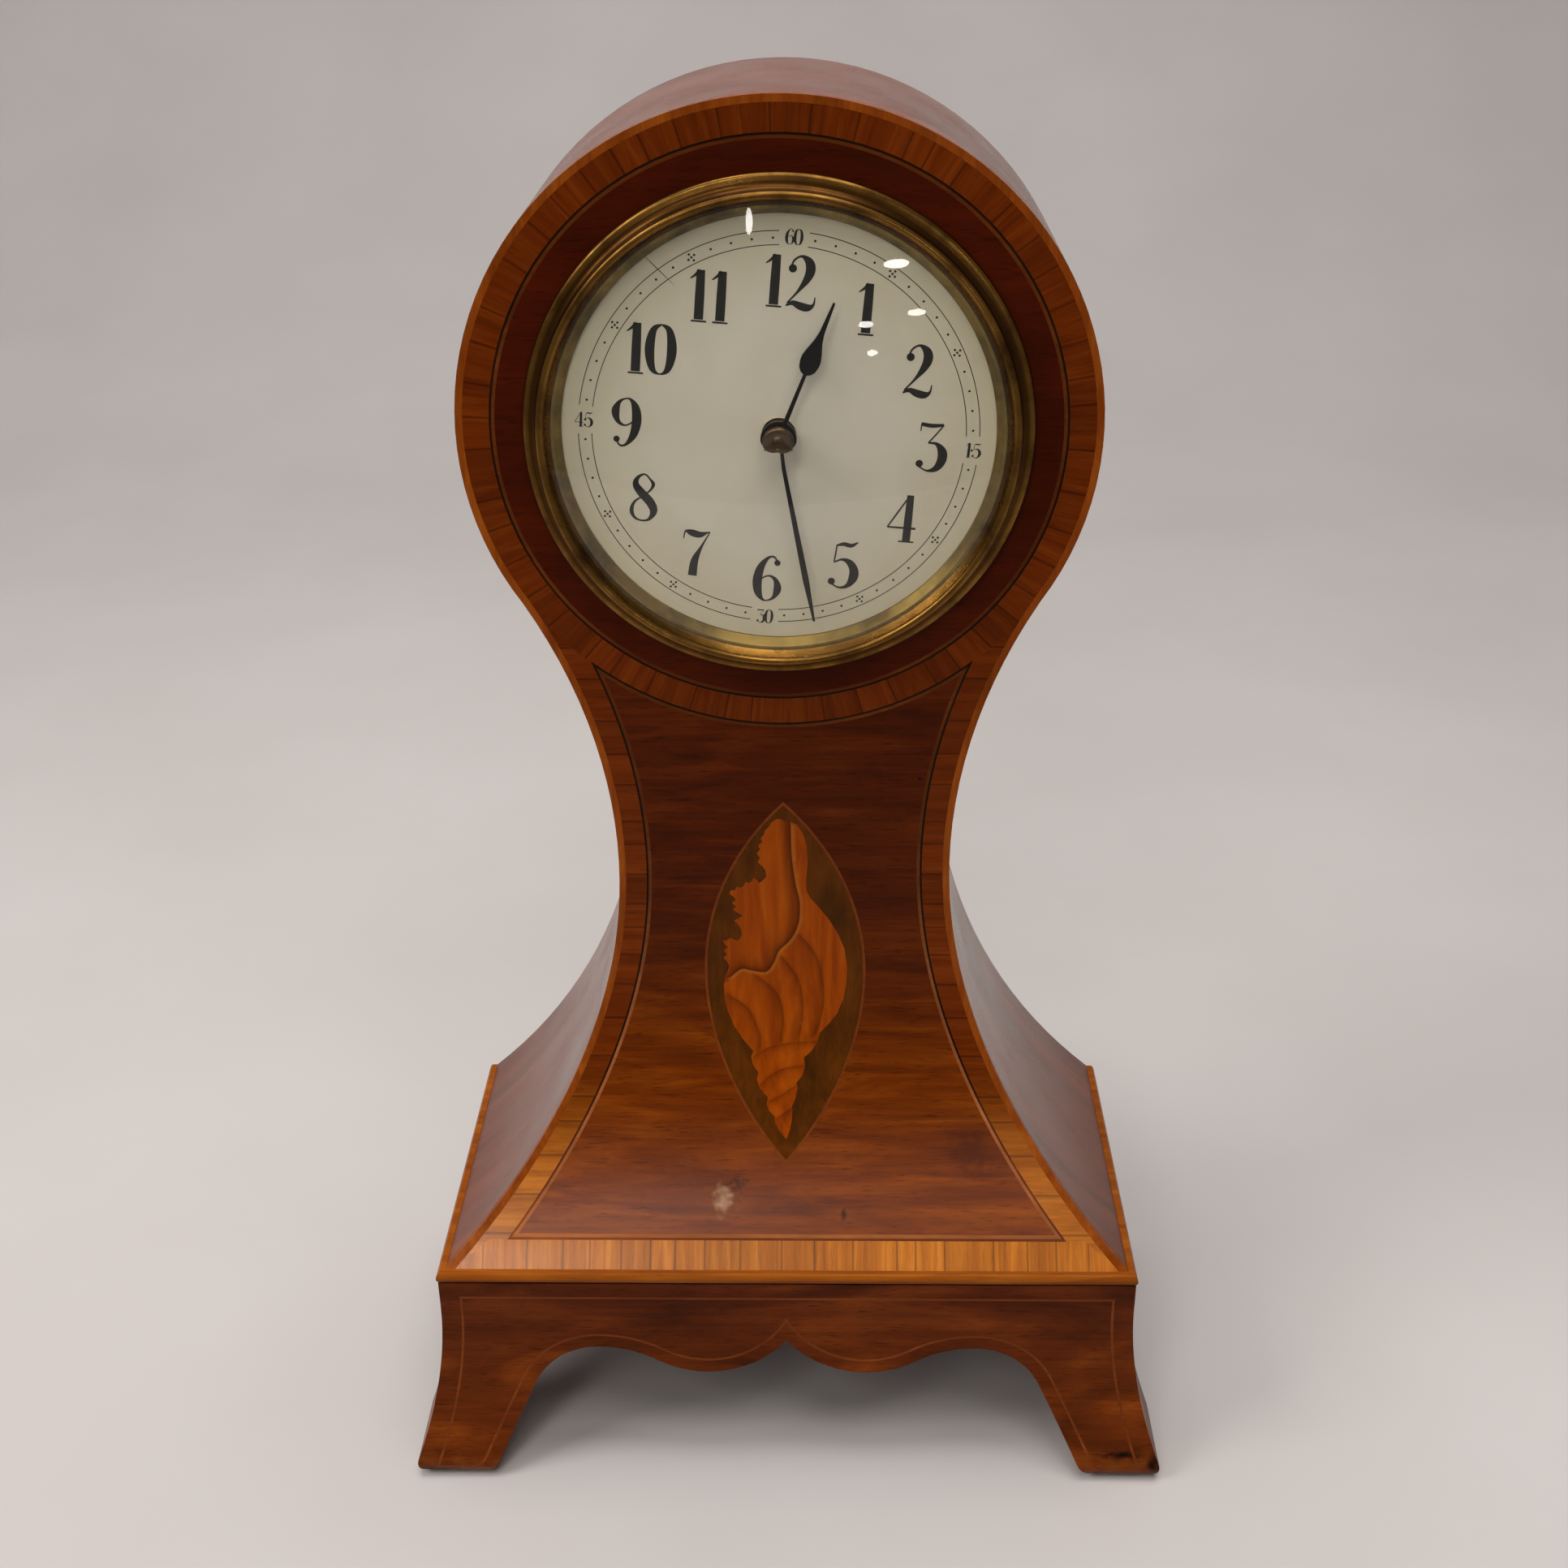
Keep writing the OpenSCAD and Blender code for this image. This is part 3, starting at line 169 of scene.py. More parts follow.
# The case: a pine and mahogany carcase. The side band is bent over the drum in one piece,
# and is French polished to a soft gloss like the front; the back has only a thin polish.
def polished_wood(name, dark, middle, light, along, streak=0.0016, run=0.055, cloud=(0.05, 0.014),
                  rough=(0.24, 0.38), pores=0.5, shine=0.09, contrast=(0.82, 1.12), turned=None):
    """Straight-grained wood. along is the axis of the grain, streak and run the width and length of
    its lines in metres, cloud the length and width of the broad figure, shine the specular level,
    and turned gives the place where the grain follows a bend. The last thing returned is the colour."""
    material, tree, shader, place = new_material(name)
    if turned:
        place = turned(tree)

    def stretched(length, width):
        scale = [1 / width] * 3
        scale[along] = 1 / length
        return add(tree, "ShaderNodeMapping", {"Vector": place, "Scale": scale})

    figure = add(tree, "ShaderNodeTexNoise", {"Vector": stretched(*cloud), "Scale": 1.0, "Detail": 4.0,
                                              "Roughness": 0.55, "Distortion": 0.9})
    tone = add(tree, "ShaderNodeValToRGB", {"Fac": figure})
    first, last = tone.color_ramp.elements
    first.position, last.position = 0.28, 0.74
    first.color, last.color = linear(dark), linear(light)
    tone.color_ramp.elements.new(0.5).color = linear(middle)
    lines = add(tree, "ShaderNodeTexNoise", {"Vector": stretched(run, streak), "Scale": 1.0, "Detail": 3.0,
                                             "Roughness": 0.6, "Distortion": 0.25})
    line_tone = add(tree, "ShaderNodeMapRange", {"Value": lines, 1: 0.3, 2: 0.7, 3: contrast[0],
                                                 4: contrast[1]})
    grained = add(tree, "ShaderNodeMix", {0: 1.0, 6: tone, 7: line_tone}, data_type="RGBA",
                  blend_type="MULTIPLY")
    # Mahogany's open pores are 0.1 to 0.2 mm wide; they are drawn 0.3 mm wide to show
    pore = add(tree, "ShaderNodeTexNoise", {"Vector": stretched(0.0035, 0.0003), "Scale": 1.0, "Detail": 1.0})
    pore_share = add(tree, "ShaderNodeMapRange", {"Value": pore, 1: 0.6, 2: 0.72, 3: 0.0, 4: pores})
    in_pores = tuple(c * 0.35 for c in linear(dark)[:3]) + (1.0,)
    colour = add(tree, "ShaderNodeMix", {0: pore_share, 6: grained, 7: in_pores}, data_type="RGBA")
    rubbed = add(tree, "ShaderNodeTexNoise", {"Vector": place, "Scale": 70.0, "Detail": 4.0})
    gloss = add(tree, "ShaderNodeMapRange", {"Value": rubbed, 1: 0.3, 2: 0.7, 3: rough[0], 4: rough[1]})
    bump = add(tree, "ShaderNodeBump", {"Height": rubbed, "Strength": 0.2, "Distance": 0.0003})
    feed(shader, {"Base Color": colour, "Roughness": gloss, "Normal": bump, "IOR": 1.5,
                  "Specular IOR Level": shine, "Coat Roughness": 0.25})
    # Old shellac is amber, and what it mirrors is warmed by it
    feed(shader, {"Specular Tint": (1.0, 0.8, 0.55, 1.0)})
    return material, tree, shader, colour


def dress(material, *names):
    for name in names:
        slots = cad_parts[name].data.materials
        for i in range(len(slots)):
            slots[i] = material


drum_z = sum(corner[2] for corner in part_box("dial")) / 2
band_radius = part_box("side_band")[1][2] - drum_z


def round_drum(tree):
    """A place's own x, y and z, its height over the drum's centre, and its angle from the drum's top."""
    place = add(tree, "ShaderNodeSeparateXYZ", {"Vector": add(tree, "ShaderNodeTexCoord").outputs["Object"]})
    rise = add(tree, "ShaderNodeMath", {0: place.outputs["Z"], 1: drum_z}, operation="SUBTRACT")
    angle = add(tree, "ShaderNodeMath", {0: place.outputs["X"], 1: rise}, operation="ARCTAN2")
    return place.outputs, rise, angle


def round_the_bend(tree):
    """Places on the bent band, whose grain runs over the top of the drum and on down both sides."""
    place, rise, angle = round_drum(tree)
    over_top = add(tree, "ShaderNodeMath", {0: angle, 1: band_radius}, operation="MULTIPLY")
    side = add(tree, "ShaderNodeMath", {0: place["X"]}, operation="SIGN")
    fall = add(tree, "ShaderNodeMath", {0: math.pi / 2 * band_radius, 1: rise}, operation="SUBTRACT")
    down_side = add(tree, "ShaderNodeMath", {0: side, 1: fall}, operation="MULTIPLY")
    below = add(tree, "ShaderNodeMath", {0: rise, 1: 0.0}, operation="LESS_THAN")
    along = add(tree, "ShaderNodeMix", {0: below, 2: over_top, 3: down_side})
    return add(tree, "ShaderNodeCombineXYZ", {"X": along, "Y": place["Y"]})


band_mahogany, tree, shader, colour = polished_wood(
    "french_polished_mahogany_band", "501A05", "6E2A0B", "8A3C14", 0, cloud=(0.07, 0.012),
    rough=(0.2, 0.32), shine=0.5, turned=round_the_bend)
feed(shader, {"Coat Weight": 0.3})
dress(band_mahogany, "side_band", "front_board")
back_mahogany = polished_wood("thinly_polished_mahogany_back", "4A2210", "6A3418", "80481F", 2,
                              rough=(0.42, 0.6), shine=0.3)[0]
dress(back_mahogany, "back_board")
# The base board and corner blocks are made far darker than aged pine, so that little light bounces under the
# clock: painted shade that deepens the shadow there.
pine_darkened_for_shade = polished_wood("pine_darkened_for_underside_shade", "2E1C10", "3C2616", "4C321E", 0, streak=0.003,
                          rough=(0.6, 0.8), pores=0.1, shine=0.2)[0]
dress(pine_darkened_for_shade, "base_board", "corner_blocks")


# The front veneers, 0.6 mm thick: dark mahogany round the dial, and a redder and paler
# mahogany panel below it with the figure running across, all under the same polish.
dial_surround = polished_wood("dark_mahogany_veneer", "3A0F01", "491303", "591C04", 0, cloud=(0.05, 0.02))[0]
dress(dial_surround, "dial_surround")
panel, tree, shader, colour = polished_wood(
    "figured_mahogany_veneer", "3E1203", "501B04", "642706", 0, streak=0.0011, run=0.03,
    cloud=(0.03, 0.0045), contrast=(0.80, 1.17))


def height_on(tree):
    place = add(tree, "ShaderNodeTexCoord").outputs["Object"]
    return add(tree, "ShaderNodeSeparateXYZ", {"Vector": place}).outputs["Z"]


def faded(tree, colour, top, foot, gain):
    """The colour made paler towards the foot, gain times as bright at the foot as at the top. On the
    swept front this is a painted sheen where the sweep turns up to the light, with some fading of the veneer.
    """
    share = add(tree, "ShaderNodeMapRange", {"Value": height_on(tree), 1: top, 2: foot, 3: 0.0, 4: 1.0},
                interpolation_type="SMOOTHSTEP")
    light = add(tree, "ShaderNodeMix", {0: share, 6: (1, 1, 1, 1), 7: gain + (1,)}, data_type="RGBA")
    return add(tree, "ShaderNodeMix", {0: 1.0, 6: colour, 7: light}, data_type="RGBA", blend_type="MULTIPLY")


def thick_polish(tree, shader):
    """The polish lies thicker and glossier towards the foot, and is finely crazed there."""
    share = add(tree, "ShaderNodeMapRange", {"Value": height_on(tree), 1: 0.080, 2: 0.056, 3: 0.0, 4: 1.0},
                interpolation_type="SMOOTHSTEP")
    feed(shader, {"Coat Weight": share})
    place = add(tree, "ShaderNodeTexCoord").outputs["Object"]
    craze = add(tree, "ShaderNodeTexNoise", {"Vector": place, "Scale": 650.0, "Detail": 3.0})
    return add(tree, "ShaderNodeMath", {0: craze, 1: share}, operation="MULTIPLY")


def spot(tree, x, z, wide, high, ragged=0.0):
    """A soft mark on the front, 1 in its middle and 0 outside, at x, z and with these half sizes.
    ragged is how far, in metres, its outline wanders."""
    place = add(tree, "ShaderNodeTexCoord").outputs["Object"]
    if ragged:
        wander = add(tree, "ShaderNodeTexNoise", {"Vector": place, "Scale": 600.0, "Detail": 1.0})
        wander = add(tree, "ShaderNodeVectorMath", {0: wander.outputs["Color"], 1: (0.5, 0.5, 0.5)},
                     operation="SUBTRACT")
        place = add(tree, "ShaderNodeVectorMath", {0: wander, 1: (ragged, 0, ragged), 2: place},
                    operation="MULTIPLY_ADD")
    flat = add(tree, "ShaderNodeVectorMath", {0: place, 1: (x, 0, z)}, operation="SUBTRACT")
    flat = add(tree, "ShaderNodeVectorMath", {0: flat, 1: (1 / wide, 0, 1 / high)}, operation="MULTIPLY")
    away = add(tree, "ShaderNodeVectorMath", {0: flat}, operation="LENGTH")
    return add(tree, "ShaderNodeMapRange", {"Value": away, 1: 1.0, 2: 0.0, 3: 0.0, 4: 1.0},
               interpolation_type="SMOOTHSTEP")


def marked(tree, colour, mark, strength, hex_colour):
    """The colour with a mark's own colour laid over it, as strongly as mark times strength."""
    share = add(tree, "ShaderNodeMath", {0: mark, 1: strength}, operation="MULTIPLY")
    return add(tree, "ShaderNodeMix", {0: share, 6: colour, 7: linear(hex_colour)}, data_type="RGBA")


# A deep knock and a small one on the sweep, and a scratch to the left of them
deep_knock = spot(tree, -0.0112, 0.0604, 0.0034, 0.0034, 0.006)
small_knock = spot(tree, 0.0117, 0.0573, 0.0007, 0.0013, 0.001)
scratch = spot(tree, -0.0292, 0.0581, 0.0022, 0.0004, 0.001)
depth = add(tree, "ShaderNodeMath", {0: deep_knock, 1: small_knock}, operation="ADD")
depth = add(tree, "ShaderNodeMath", {0: scratch, 1: 0.5, 2: depth}, operation="MULTIPLY_ADD")
# The panel is paler towards the foot: partly faded veneer, partly a painted sheen where the sweep
# turns up to the light. The deep knock has a painted highlight on its lower left and a painted
# shadow along its upper right, and the small knock painted shade in its hollow; a dark patch lies
# low on the right, and a small black spot near the waist's right edge
colour = faded(tree, colour, 0.128, 0.058, (2.5, 3.4, 1.4))
colour = marked(tree, colour, spot(tree, -0.0128, 0.0598, 0.0021, 0.0036, 0.004), 0.68, "C8A07C")
colour = marked(tree, colour, spot(tree, -0.0098, 0.0624, 0.0019, 0.0028, 0.005), 0.7, "3A1806")
colour = marked(tree, colour, small_knock, 1.0, "3A1806")
colour = marked(tree, colour, spot(tree, 0.0375, 0.0685, 0.0075, 0.0065, 0.006), 0.6, "42180A")
colour = marked(tree, colour, spot(tree, 0.0258, 0.1468, 0.0007, 0.0006), 1.0, "140602")
surface = add(tree, "ShaderNodeMath", {0: depth, 1: -6.0, 2: thick_polish(tree, shader)},
              operation="MULTIPLY_ADD")
bump = add(tree, "ShaderNodeBump", {"Height": surface, "Strength": 1.0, "Distance": 0.00008})
feed(shader, {"Base Color": colour, "Normal": bump})
dress(panel, "waist_veneer")


# Crossbanding of satinwood, cut across the grain in short pieces, so its lines run from
# the middle of the clock outwards; the joints between the pieces have darkened.
case_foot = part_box("crossbanding")[0][2]
band_middle, drum_reach = 0.053, 0.0552     # middle and outside radius of the band round the drum
foot_band, corner_x = 0.0046, 0.0664        # height and half width of the band along the foot
mitre_slope = 0.7                           # rise of its mitred ends, for each unit across


def away_from(tree, x, z):
    """Distance in metres from the front-to-back axis through x and z."""
    place = add(tree, "ShaderNodeTexCoord").outputs["Object"]
    flat = add(tree, "ShaderNodeVectorMath", {0: place, 1: (x, 0, z)}, operation="SUBTRACT")
    flat = add(tree, "ShaderNodeVectorMath", {0: flat, 1: (1, 0, 1)}, operation="MULTIPLY")
    return add(tree, "ShaderNodeVectorMath", {0: flat}, operation="LENGTH")


def cross_grain(tree):
    """Places along and across the band: round the drum, then down the sides, then along the foot."""
    place, rise, angle = round_drum(tree)
    round_top = add(tree, "ShaderNodeMath", {0: angle, 1: band_middle}, operation="MULTIPLY")
    radius = away_from(tree, 0.0, drum_z)
    on_drum = add(tree, "ShaderNodeMath", {0: radius, 1: drum_reach}, operation="LESS_THAN")
    # The foot band meets the side bands in mitres at the corners
    out = add(tree, "ShaderNodeMath", {0: place["X"]}, operation="ABSOLUTE")
    mitre = add(tree, "ShaderNodeMath", {0: out, 1: -mitre_slope, 2: case_foot + mitre_slope * corner_x},
                operation="MULTIPLY_ADD")
    limit = add(tree, "ShaderNodeMath", {0: mitre, 1: case_foot + foot_band}, operation="MINIMUM")
    on_foot = add(tree, "ShaderNodeMath", {0: place["Z"], 1: limit}, operation="LESS_THAN")
    lower = add(tree, "ShaderNodeMix", {0: on_foot, 2: place["Z"], 3: place["X"]})
    along = add(tree, "ShaderNodeMix", {0: on_drum, 2: lower, 3: round_top})
    lower_across = add(tree, "ShaderNodeMix", {0: on_foot, 2: place["X"], 3: place["Z"]})
    across = add(tree, "ShaderNodeMix", {0: on_drum, 2: lower_across, 3: radius})
    return add(tree, "ShaderNodeCombineXYZ", {"X": along, "Y": across})


crossband, tree, shader, colour = polished_wood(
    "satinwood_cut_across", "5B2102", "6E2B04", "7E370A", 1, streak=0.0005, run=0.02,
    cloud=(0.03, 0.0024), pores=0.3, contrast=(0.88, 1.1), turned=cross_grain)
along = add(tree, "ShaderNodeSeparateXYZ", {"Vector": cross_grain(tree)}).outputs["X"]
pieces_per_metre = 150.0                    # each piece is about 7 mm long
piece = add(tree, "ShaderNodeTexVoronoi", {"W": along, "Scale": pieces_per_metre}, voronoi_dimensions="1D")
edge = add(tree, "ShaderNodeTexVoronoi", {"W": along, "Scale": pieces_per_metre}, voronoi_dimensions="1D",
           feature="DISTANCE_TO_EDGE")
piece_tone = add(tree, "ShaderNodeMapRange", {"Value": piece.outputs["Color"], 3: 0.8, 4: 1.18})
toned = add(tree, "ShaderNodeMix", {0: 1.0, 6: colour, 7: piece_tone}, data_type="RGBA",
            blend_type="MULTIPLY")
joint = add(tree, "ShaderNodeMapRange", {"Value": edge.outputs["Distance"], 1: 0.012, 2: 0.042, 3: 0.55,
                                         4: 0.0})
jointed = marked(tree, toned, joint, 1.0, "240A02")
bump = add(tree, "ShaderNodeBump", {"Height": thick_polish(tree, shader), "Strength": 1.0,
                                    "Distance": 0.00008})
# Paler towards the foot: partly paler satinwood, partly painted sheen where the sweep turns up to the light
feed(shader, {"Base Color": faded(tree, jointed, 0.088, 0.052, (3.4, 6.3, 5.6)), "Normal": bump})
dress(crossband, "crossbanding")


# Stringing: the square boxwood edge that guards every corner of the front, and the
# pairs of ebony and boxwood lines beside the crossbanding, all let in flush.
boxwood = polished_wood("boxwood_edging", "783608", "904410", "A85818", 2, streak=0.0009, run=0.03,
                        cloud=(0.02, 0.006), pores=0.12, rough=(0.22, 0.36))[0]
dress(boxwood, "boxwood_edge")
stringing, tree, shader, colour = polished_wood("boxwood_line", "4A200A", "5E2C0E", "703814", 0,
                                                streak=0.001, run=0.01, pores=0.0)
# Much paler and whiter towards the foot: painted sheen where the sweep turns up to the light
feed(shader, {"Base Color": faded(tree, colour, 0.150, 0.054, (3.5, 4.9, 9.0))})
dress(stringing, "boxwood_lines")
apron_stringing = polished_wood("boxwood_line_apron", "6A3010", "7C3C16", "8E4A1E", 0,
                                streak=0.001, run=0.01, pores=0.0)[0]
dress(apron_stringing, "apron_line", "oval_border")
ebony, tree, shader, colour = polished_wood("ebony_line", "140804", "1E0E06", "2C160A", 0, pores=0.2)
# Much paler towards the foot: painted sheen where the sweep turns up to the light, over ebony a little
# bleached by the polish
feed(shader, {"Base Color": faded(tree, colour, 0.085, 0.0545, (14.0, 11.0, 9.0))})
dress(ebony, "ebony_lines")


# The oval's ground: one sheet of sycamore on the swept front, pointed at both ends and
# stained olive green, now brown in cloudy patches with a faint grain up and down.
front_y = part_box("dial_surround")[0][1]
sweep_top, sweep_radius = 0.1135, 0.100
veneer = 0.0006
oval_z = sum(corner[2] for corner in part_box("oval_ground")) / 2


def front_y_at(z):
    """Front of the case at height z: flat down to the waist, then swept forward on a 100 mm radius."""
    return front_y - (sweep_radius - math.sqrt(sweep_radius ** 2 - min(z - sweep_top, 0) ** 2))


low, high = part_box("oval_ground")
half_wide, half_high = (high[0] - low[0]) / 2, (high[2] - low[2]) / 2
oval_radius = (half_high ** 2 + half_wide ** 2) / (2 * half_wide)
rows, corners, faces = 80, [], []
for i in range(rows + 1):
    rise = half_high * (2 * i / rows - 1) * 0.9995      # the points are kept a hair blunt
    wide = math.sqrt(oval_radius ** 2 - rise ** 2) - (oval_radius - half_wide)
    face = front_y_at(oval_z + rise)
    for x, y in ((-wide, face), (wide, face), (wide, face + veneer), (-wide, face + veneer)):
        corners.append((x, y, oval_z + rise))
    if i:
        here, below = 4 * i, 4 * i - 4
        faces += [(below + j, below + (j + 1) % 4, here + (j + 1) % 4, here + j) for j in range(4)]
faces += [(0, 3, 2, 1), tuple(4 * rows + j for j in range(4))]
green = polished_wood("green_stained_sycamore", "402206", "582C06", "6C380A", 2, streak=0.001, run=0.02,
                      cloud=(0.016, 0.007), pores=0.2)[0]
ground = plain_mesh("green_oval_veneer", corners, faces, green)
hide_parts("oval_ground")
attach(ground, "case")


# The conch: one satinwood piece, saw-cut to its outline and scorched in hot sand along
# the mouth, the ribs and the whorls. It stands a hair proud of the ground, which has
# shrunk with age. All its lines are in mm from the oval's middle.
outline = [(-0.6, 34.4), (-1.4, 34.3), (-2.3, 33.6), (-2.8, 32.6), (-3.6, 31.8), (-3.7, 31.0),
           (-4.4, 30.2), (-4.1, 29.4), (-4.9, 28.6), (-4.5, 27.8), (-5.2, 26.8), (-4.6, 26.0),
           (-5.0, 24.9), (-4.2, 24.1), (-3.6, 23.2), (-3.4, 21.8), (-4.1, 20.9), (-4.8, 20.3),
           (-5.3, 21.0), (-5.9, 21.5), (-6.2, 20.7), (-6.8, 20.3), (-7.5, 20.6), (-7.8, 19.7),
           (-8.5, 19.3), (-9.2, 19.5), (-9.5, 18.7), (-10.3, 18.7), (-10.7, 17.9), (-9.9, 17.3),
           (-9.4, 16.6), (-10.2, 15.8), (-9.4, 15.1), (-10.0, 14.3), (-9.1, 13.6), (-8.1, 13.0),
           (-9.0, 12.3), (-9.9, 11.9), (-9.1, 11.0), (-8.6, 10.0), (-8.4, 8.8), (-8.7, 7.8), (-9.4, 7.2),
           (-10.2, 7.7), (-10.8, 7.9), (-11.5, 7.2), (-12.2, 7.4), (-11.8, 6.4), (-11.2, 5.8),
           (-12.0, 5.0), (-11.4, 4.2), (-12.1, 3.4), (-11.5, 2.6), (-11.0, 1.6), (-11.3, 0.7),
           (-11.9, -0.9), (-12.2, -2.6), (-12.1, -5.2), (-11.5, -8.2), (-10.3, -11.3), (-8.7, -13.9),
           (-7.3, -15.6), (-6.5, -16.5), (-6.9, -17.7), (-6.6, -19.2), (-5.5, -20.8), (-5.8, -22.3),
           (-5.3, -23.8), (-4.3, -25.0), (-3.6, -25.7), (-3.9, -27.0), (-3.3, -28.4), (-2.3, -29.3),
           (-2.1, -30.7), (-1.2, -32.2), (0.1, -33.6), (0.8, -31.9), (1.2, -29.9), (1.3, -28.3),
           (1.2, -27.4), (1.9, -26.0), (2.4, -23.8), (2.1, -22.9), (3.3, -21.5), (3.9, -19.5),
           (3.7, -17.8), (5.2, -16.5), (6.4, -14.7), (6.8, -12.8), (8.7, -10.8), (10.3, -8.7),
           (11.5, -5.6), (12.1, -2.2), (12.3, 0.9), (11.8, 5.2), (10.5, 8.7), (8.7, 12.1), (6.7, 14.9),
           (5.1, 16.9), (4.3, 18.6), (4.2, 20.8), (4.6, 24.7), (4.4, 28.6), (3.7, 31.2), (2.6, 33.1),
           (1.2, 34.0), (0.2, 33.9)]
mouth = [(1.4, 33.8), (1.5, 26.7), (2.2, 20.4), (3.0, 15.8), (2.7, 11.1), (1.1, 7.5), (-1.2, 4.9),
         (-2.2, 2.3), (-3.8, 0.3), (-6.6, 0.6), (-8.7, 0.9), (-11.0, -1.1)]
ribs = [[(2.9, 8.7), (6.2, 4.0), (7.7, -2.8), (7.2, -9.5), (5.6, -13.8)],
        [(-0.4, 3.5), (2.6, -1.1), (3.6, -7.3), (2.8, -13.8)],
        [(-5.1, -0.8), (-1.5, -4.5), (-0.3, -9.5), (-0.8, -14.3)],
        [(-10.6, -5.1), (-7.2, -7.8), (-5.2, -12.7), (-5.0, -15.9)]]
whorls = [[(7.4, -14.3), (4.1, -14.6), (-0.1, -14.9), (-3.7, -15.9), (-6.7, -17.8)],
          [(4.0, -19.3), (-0.1, -19.9), (-3.2, -21.4), (-5.5, -23.5)],
          [(2.0, -23.4), (-0.6, -25.0), (-3.0, -26.2), (-3.8, -26.5)],
          [(1.2, -27.7), (-0.4, -28.7), (-2.2, -29.9)]]


def rounded(points, steps=5):
    """The points joined by a smooth curve (Catmull-Rom); any further values ride along."""
    ends = [points[0]] + list(points) + [points[-1]]
    curve = []
    for a, b, c, d in zip(ends, ends[1:], ends[2:], ends[3:]):
        for i in range(steps):
            t = i / steps
            curve.append(tuple(0.5 * (2 * q + (r - p) * t + (2 * p - 5 * q + 4 * r - s) * t * t
                                      + (3 * q - p - 3 * r + s) * t ** 3) for p, q, r, s in zip(a, b, c, d)))
    return curve + [tuple(points[-1])]


def nearest(point, curve):
    """Distance to a curve, and 1 on its left-hand side, seen along it, or -1 on its right."""
    best = (1e9, 1.0)
    for a, b in zip(curve, curve[1:]):
        run = (b[0] - a[0], b[1] - a[1])
        t = ((point[0] - a[0]) * run[0] + (point[1] - a[1]) * run[1]) / (run[0] ** 2 + run[1] ** 2)
        t = max(0.0, min(1.0, t))
        gap = (point[0] - a[0] - t * run[0], point[1] - a[1] - t * run[1])
        best = min(best, (math.hypot(*gap), 1.0 if run[0] * gap[1] - run[1] * gap[0] >= 0 else -1.0))
    return best


mouth_curve = rounded(mouth)
rib_curves = [rounded(r) for r in ribs]
whorl_curves = [rounded(w) for w in whorls]
drawn = [mouth_curve] + rib_curves + whorl_curves


def scorch(point):
    """How dark the sand has burnt the veneer at this place, from 0 to 1: deep on one side of
    each line, faint on the other."""
    gap, side = nearest(point, mouth_curve)
    dark = 0.9 * math.exp(-gap / 1.6) if side < 0 else 0.0
    for curves, burnt_side, deep, faint in ((rib_curves, -1.0, (0.62, 1.5), (0.28, 0.35)),
                                            (whorl_curves, 1.0, (0.55, 1.1), (0.25, 0.3))):
        for curve in curves:
            gap, side = nearest(point, curve)
            strength, reach = deep if side == burnt_side else faint
            dark = max(dark, strength * math.exp(-gap / reach))
    return min(dark, 1.0)


def lip(point):
    """How pale the lip is at this place: a thin line left unburnt along the mouth."""
    gap, side = nearest(point, mouth_curve)
    return 0.7 * math.exp(-((gap - 0.3) / 0.28) ** 2) if side > 0 else 0.0


def inside(point):
    odd = False
    for (x0, z0), (x1, z1) in zip(outline, outline[1:] + outline[:1]):
        if (z0 > point[1]) != (z1 > point[1]) and point[0] < (x1 - x0) * (point[1] - z0) / (z1 - z0) + x0:
            odd = not odd
    return odd and nearest(point, outline + outline[:1])[0] > 0.2


# The sheet's points: its outline, rows close beside each drawn line, and a 0.42 mm grid between
beside = []
for curve in drawn:
    for offset in (-0.5, -0.08, 0.08, 0.4, 0.75):
        for a, b in zip(curve, curve[1:]):
            run = math.hypot(b[0] - a[0], b[1] - a[1])
            beside.append(Vector((a[0] - (b[1] - a[1]) / run * offset, a[1] + (b[0] - a[0]) / run * offset)))
grid = [(x * 0.42, z * 0.42) for x in range(-30, 31) for z in range(-82, 83)]
flat_points = [Vector(p) for p in outline] + [p for p in beside if inside(p)]
flat_points += [Vector(p) for p in grid if inside(p) and min(nearest(p, c)[0] for c in drawn) > 0.7]
cut = delaunay_2d_cdt(flat_points, [], [list(range(len(outline)))], 1, 1e-4)
flat_points, triangles = cut[0], cut[2]
proud = 0.00003
skin = [(p.x / 1000, front_y_at(oval_z + p.y / 1000) - proud, oval_z + p.y / 1000) for p in flat_points]
count = len(skin)
corners = skin + [(x, y + veneer, z) for x, y, z in skin]
faces = []
for triangle in triangles:
    a, b, c = [flat_points[i] for i in triangle]
    front = list(triangle) if (b - a).cross(c - a) > 0 else list(triangle)[::-1]
    faces += [front, [i + count for i in front[::-1]]]
edges = dict.fromkeys((a, b) for front in faces[::2] for a, b in zip(front, front[1:] + front[:1]))
faces += [[b, a, a + count, b + count] for a, b in edges if (b, a) not in edges]
satinwood, tree, shader, colour = polished_wood("sand_shaded_satinwood", "8E3A06", "A44604", "B8570A", 2,
                                                streak=0.0012, run=0.03, cloud=(0.03, 0.004), pores=0.12)
for name, hex_colour in (("scorch", "3A1002"), ("lip", "AE6A26")):
    share = add(tree, "ShaderNodeAttribute", attribute_name=name).outputs["Fac"]
    colour = marked(tree, colour, share, 1.0, hex_colour)
feed(shader, {"Base Color": colour})
conch = plain_mesh("conch_veneer", corners, faces, satinwood)
for name, strength_at in (("scorch", scorch), ("lip", lip)):
    strengths = [strength_at(p) for p in flat_points]
    conch.data.attributes.new(name, "FLOAT", "POINT").data.foreach_set("value", strengths + strengths)
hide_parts("shell_inlay")
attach(conch, "case")


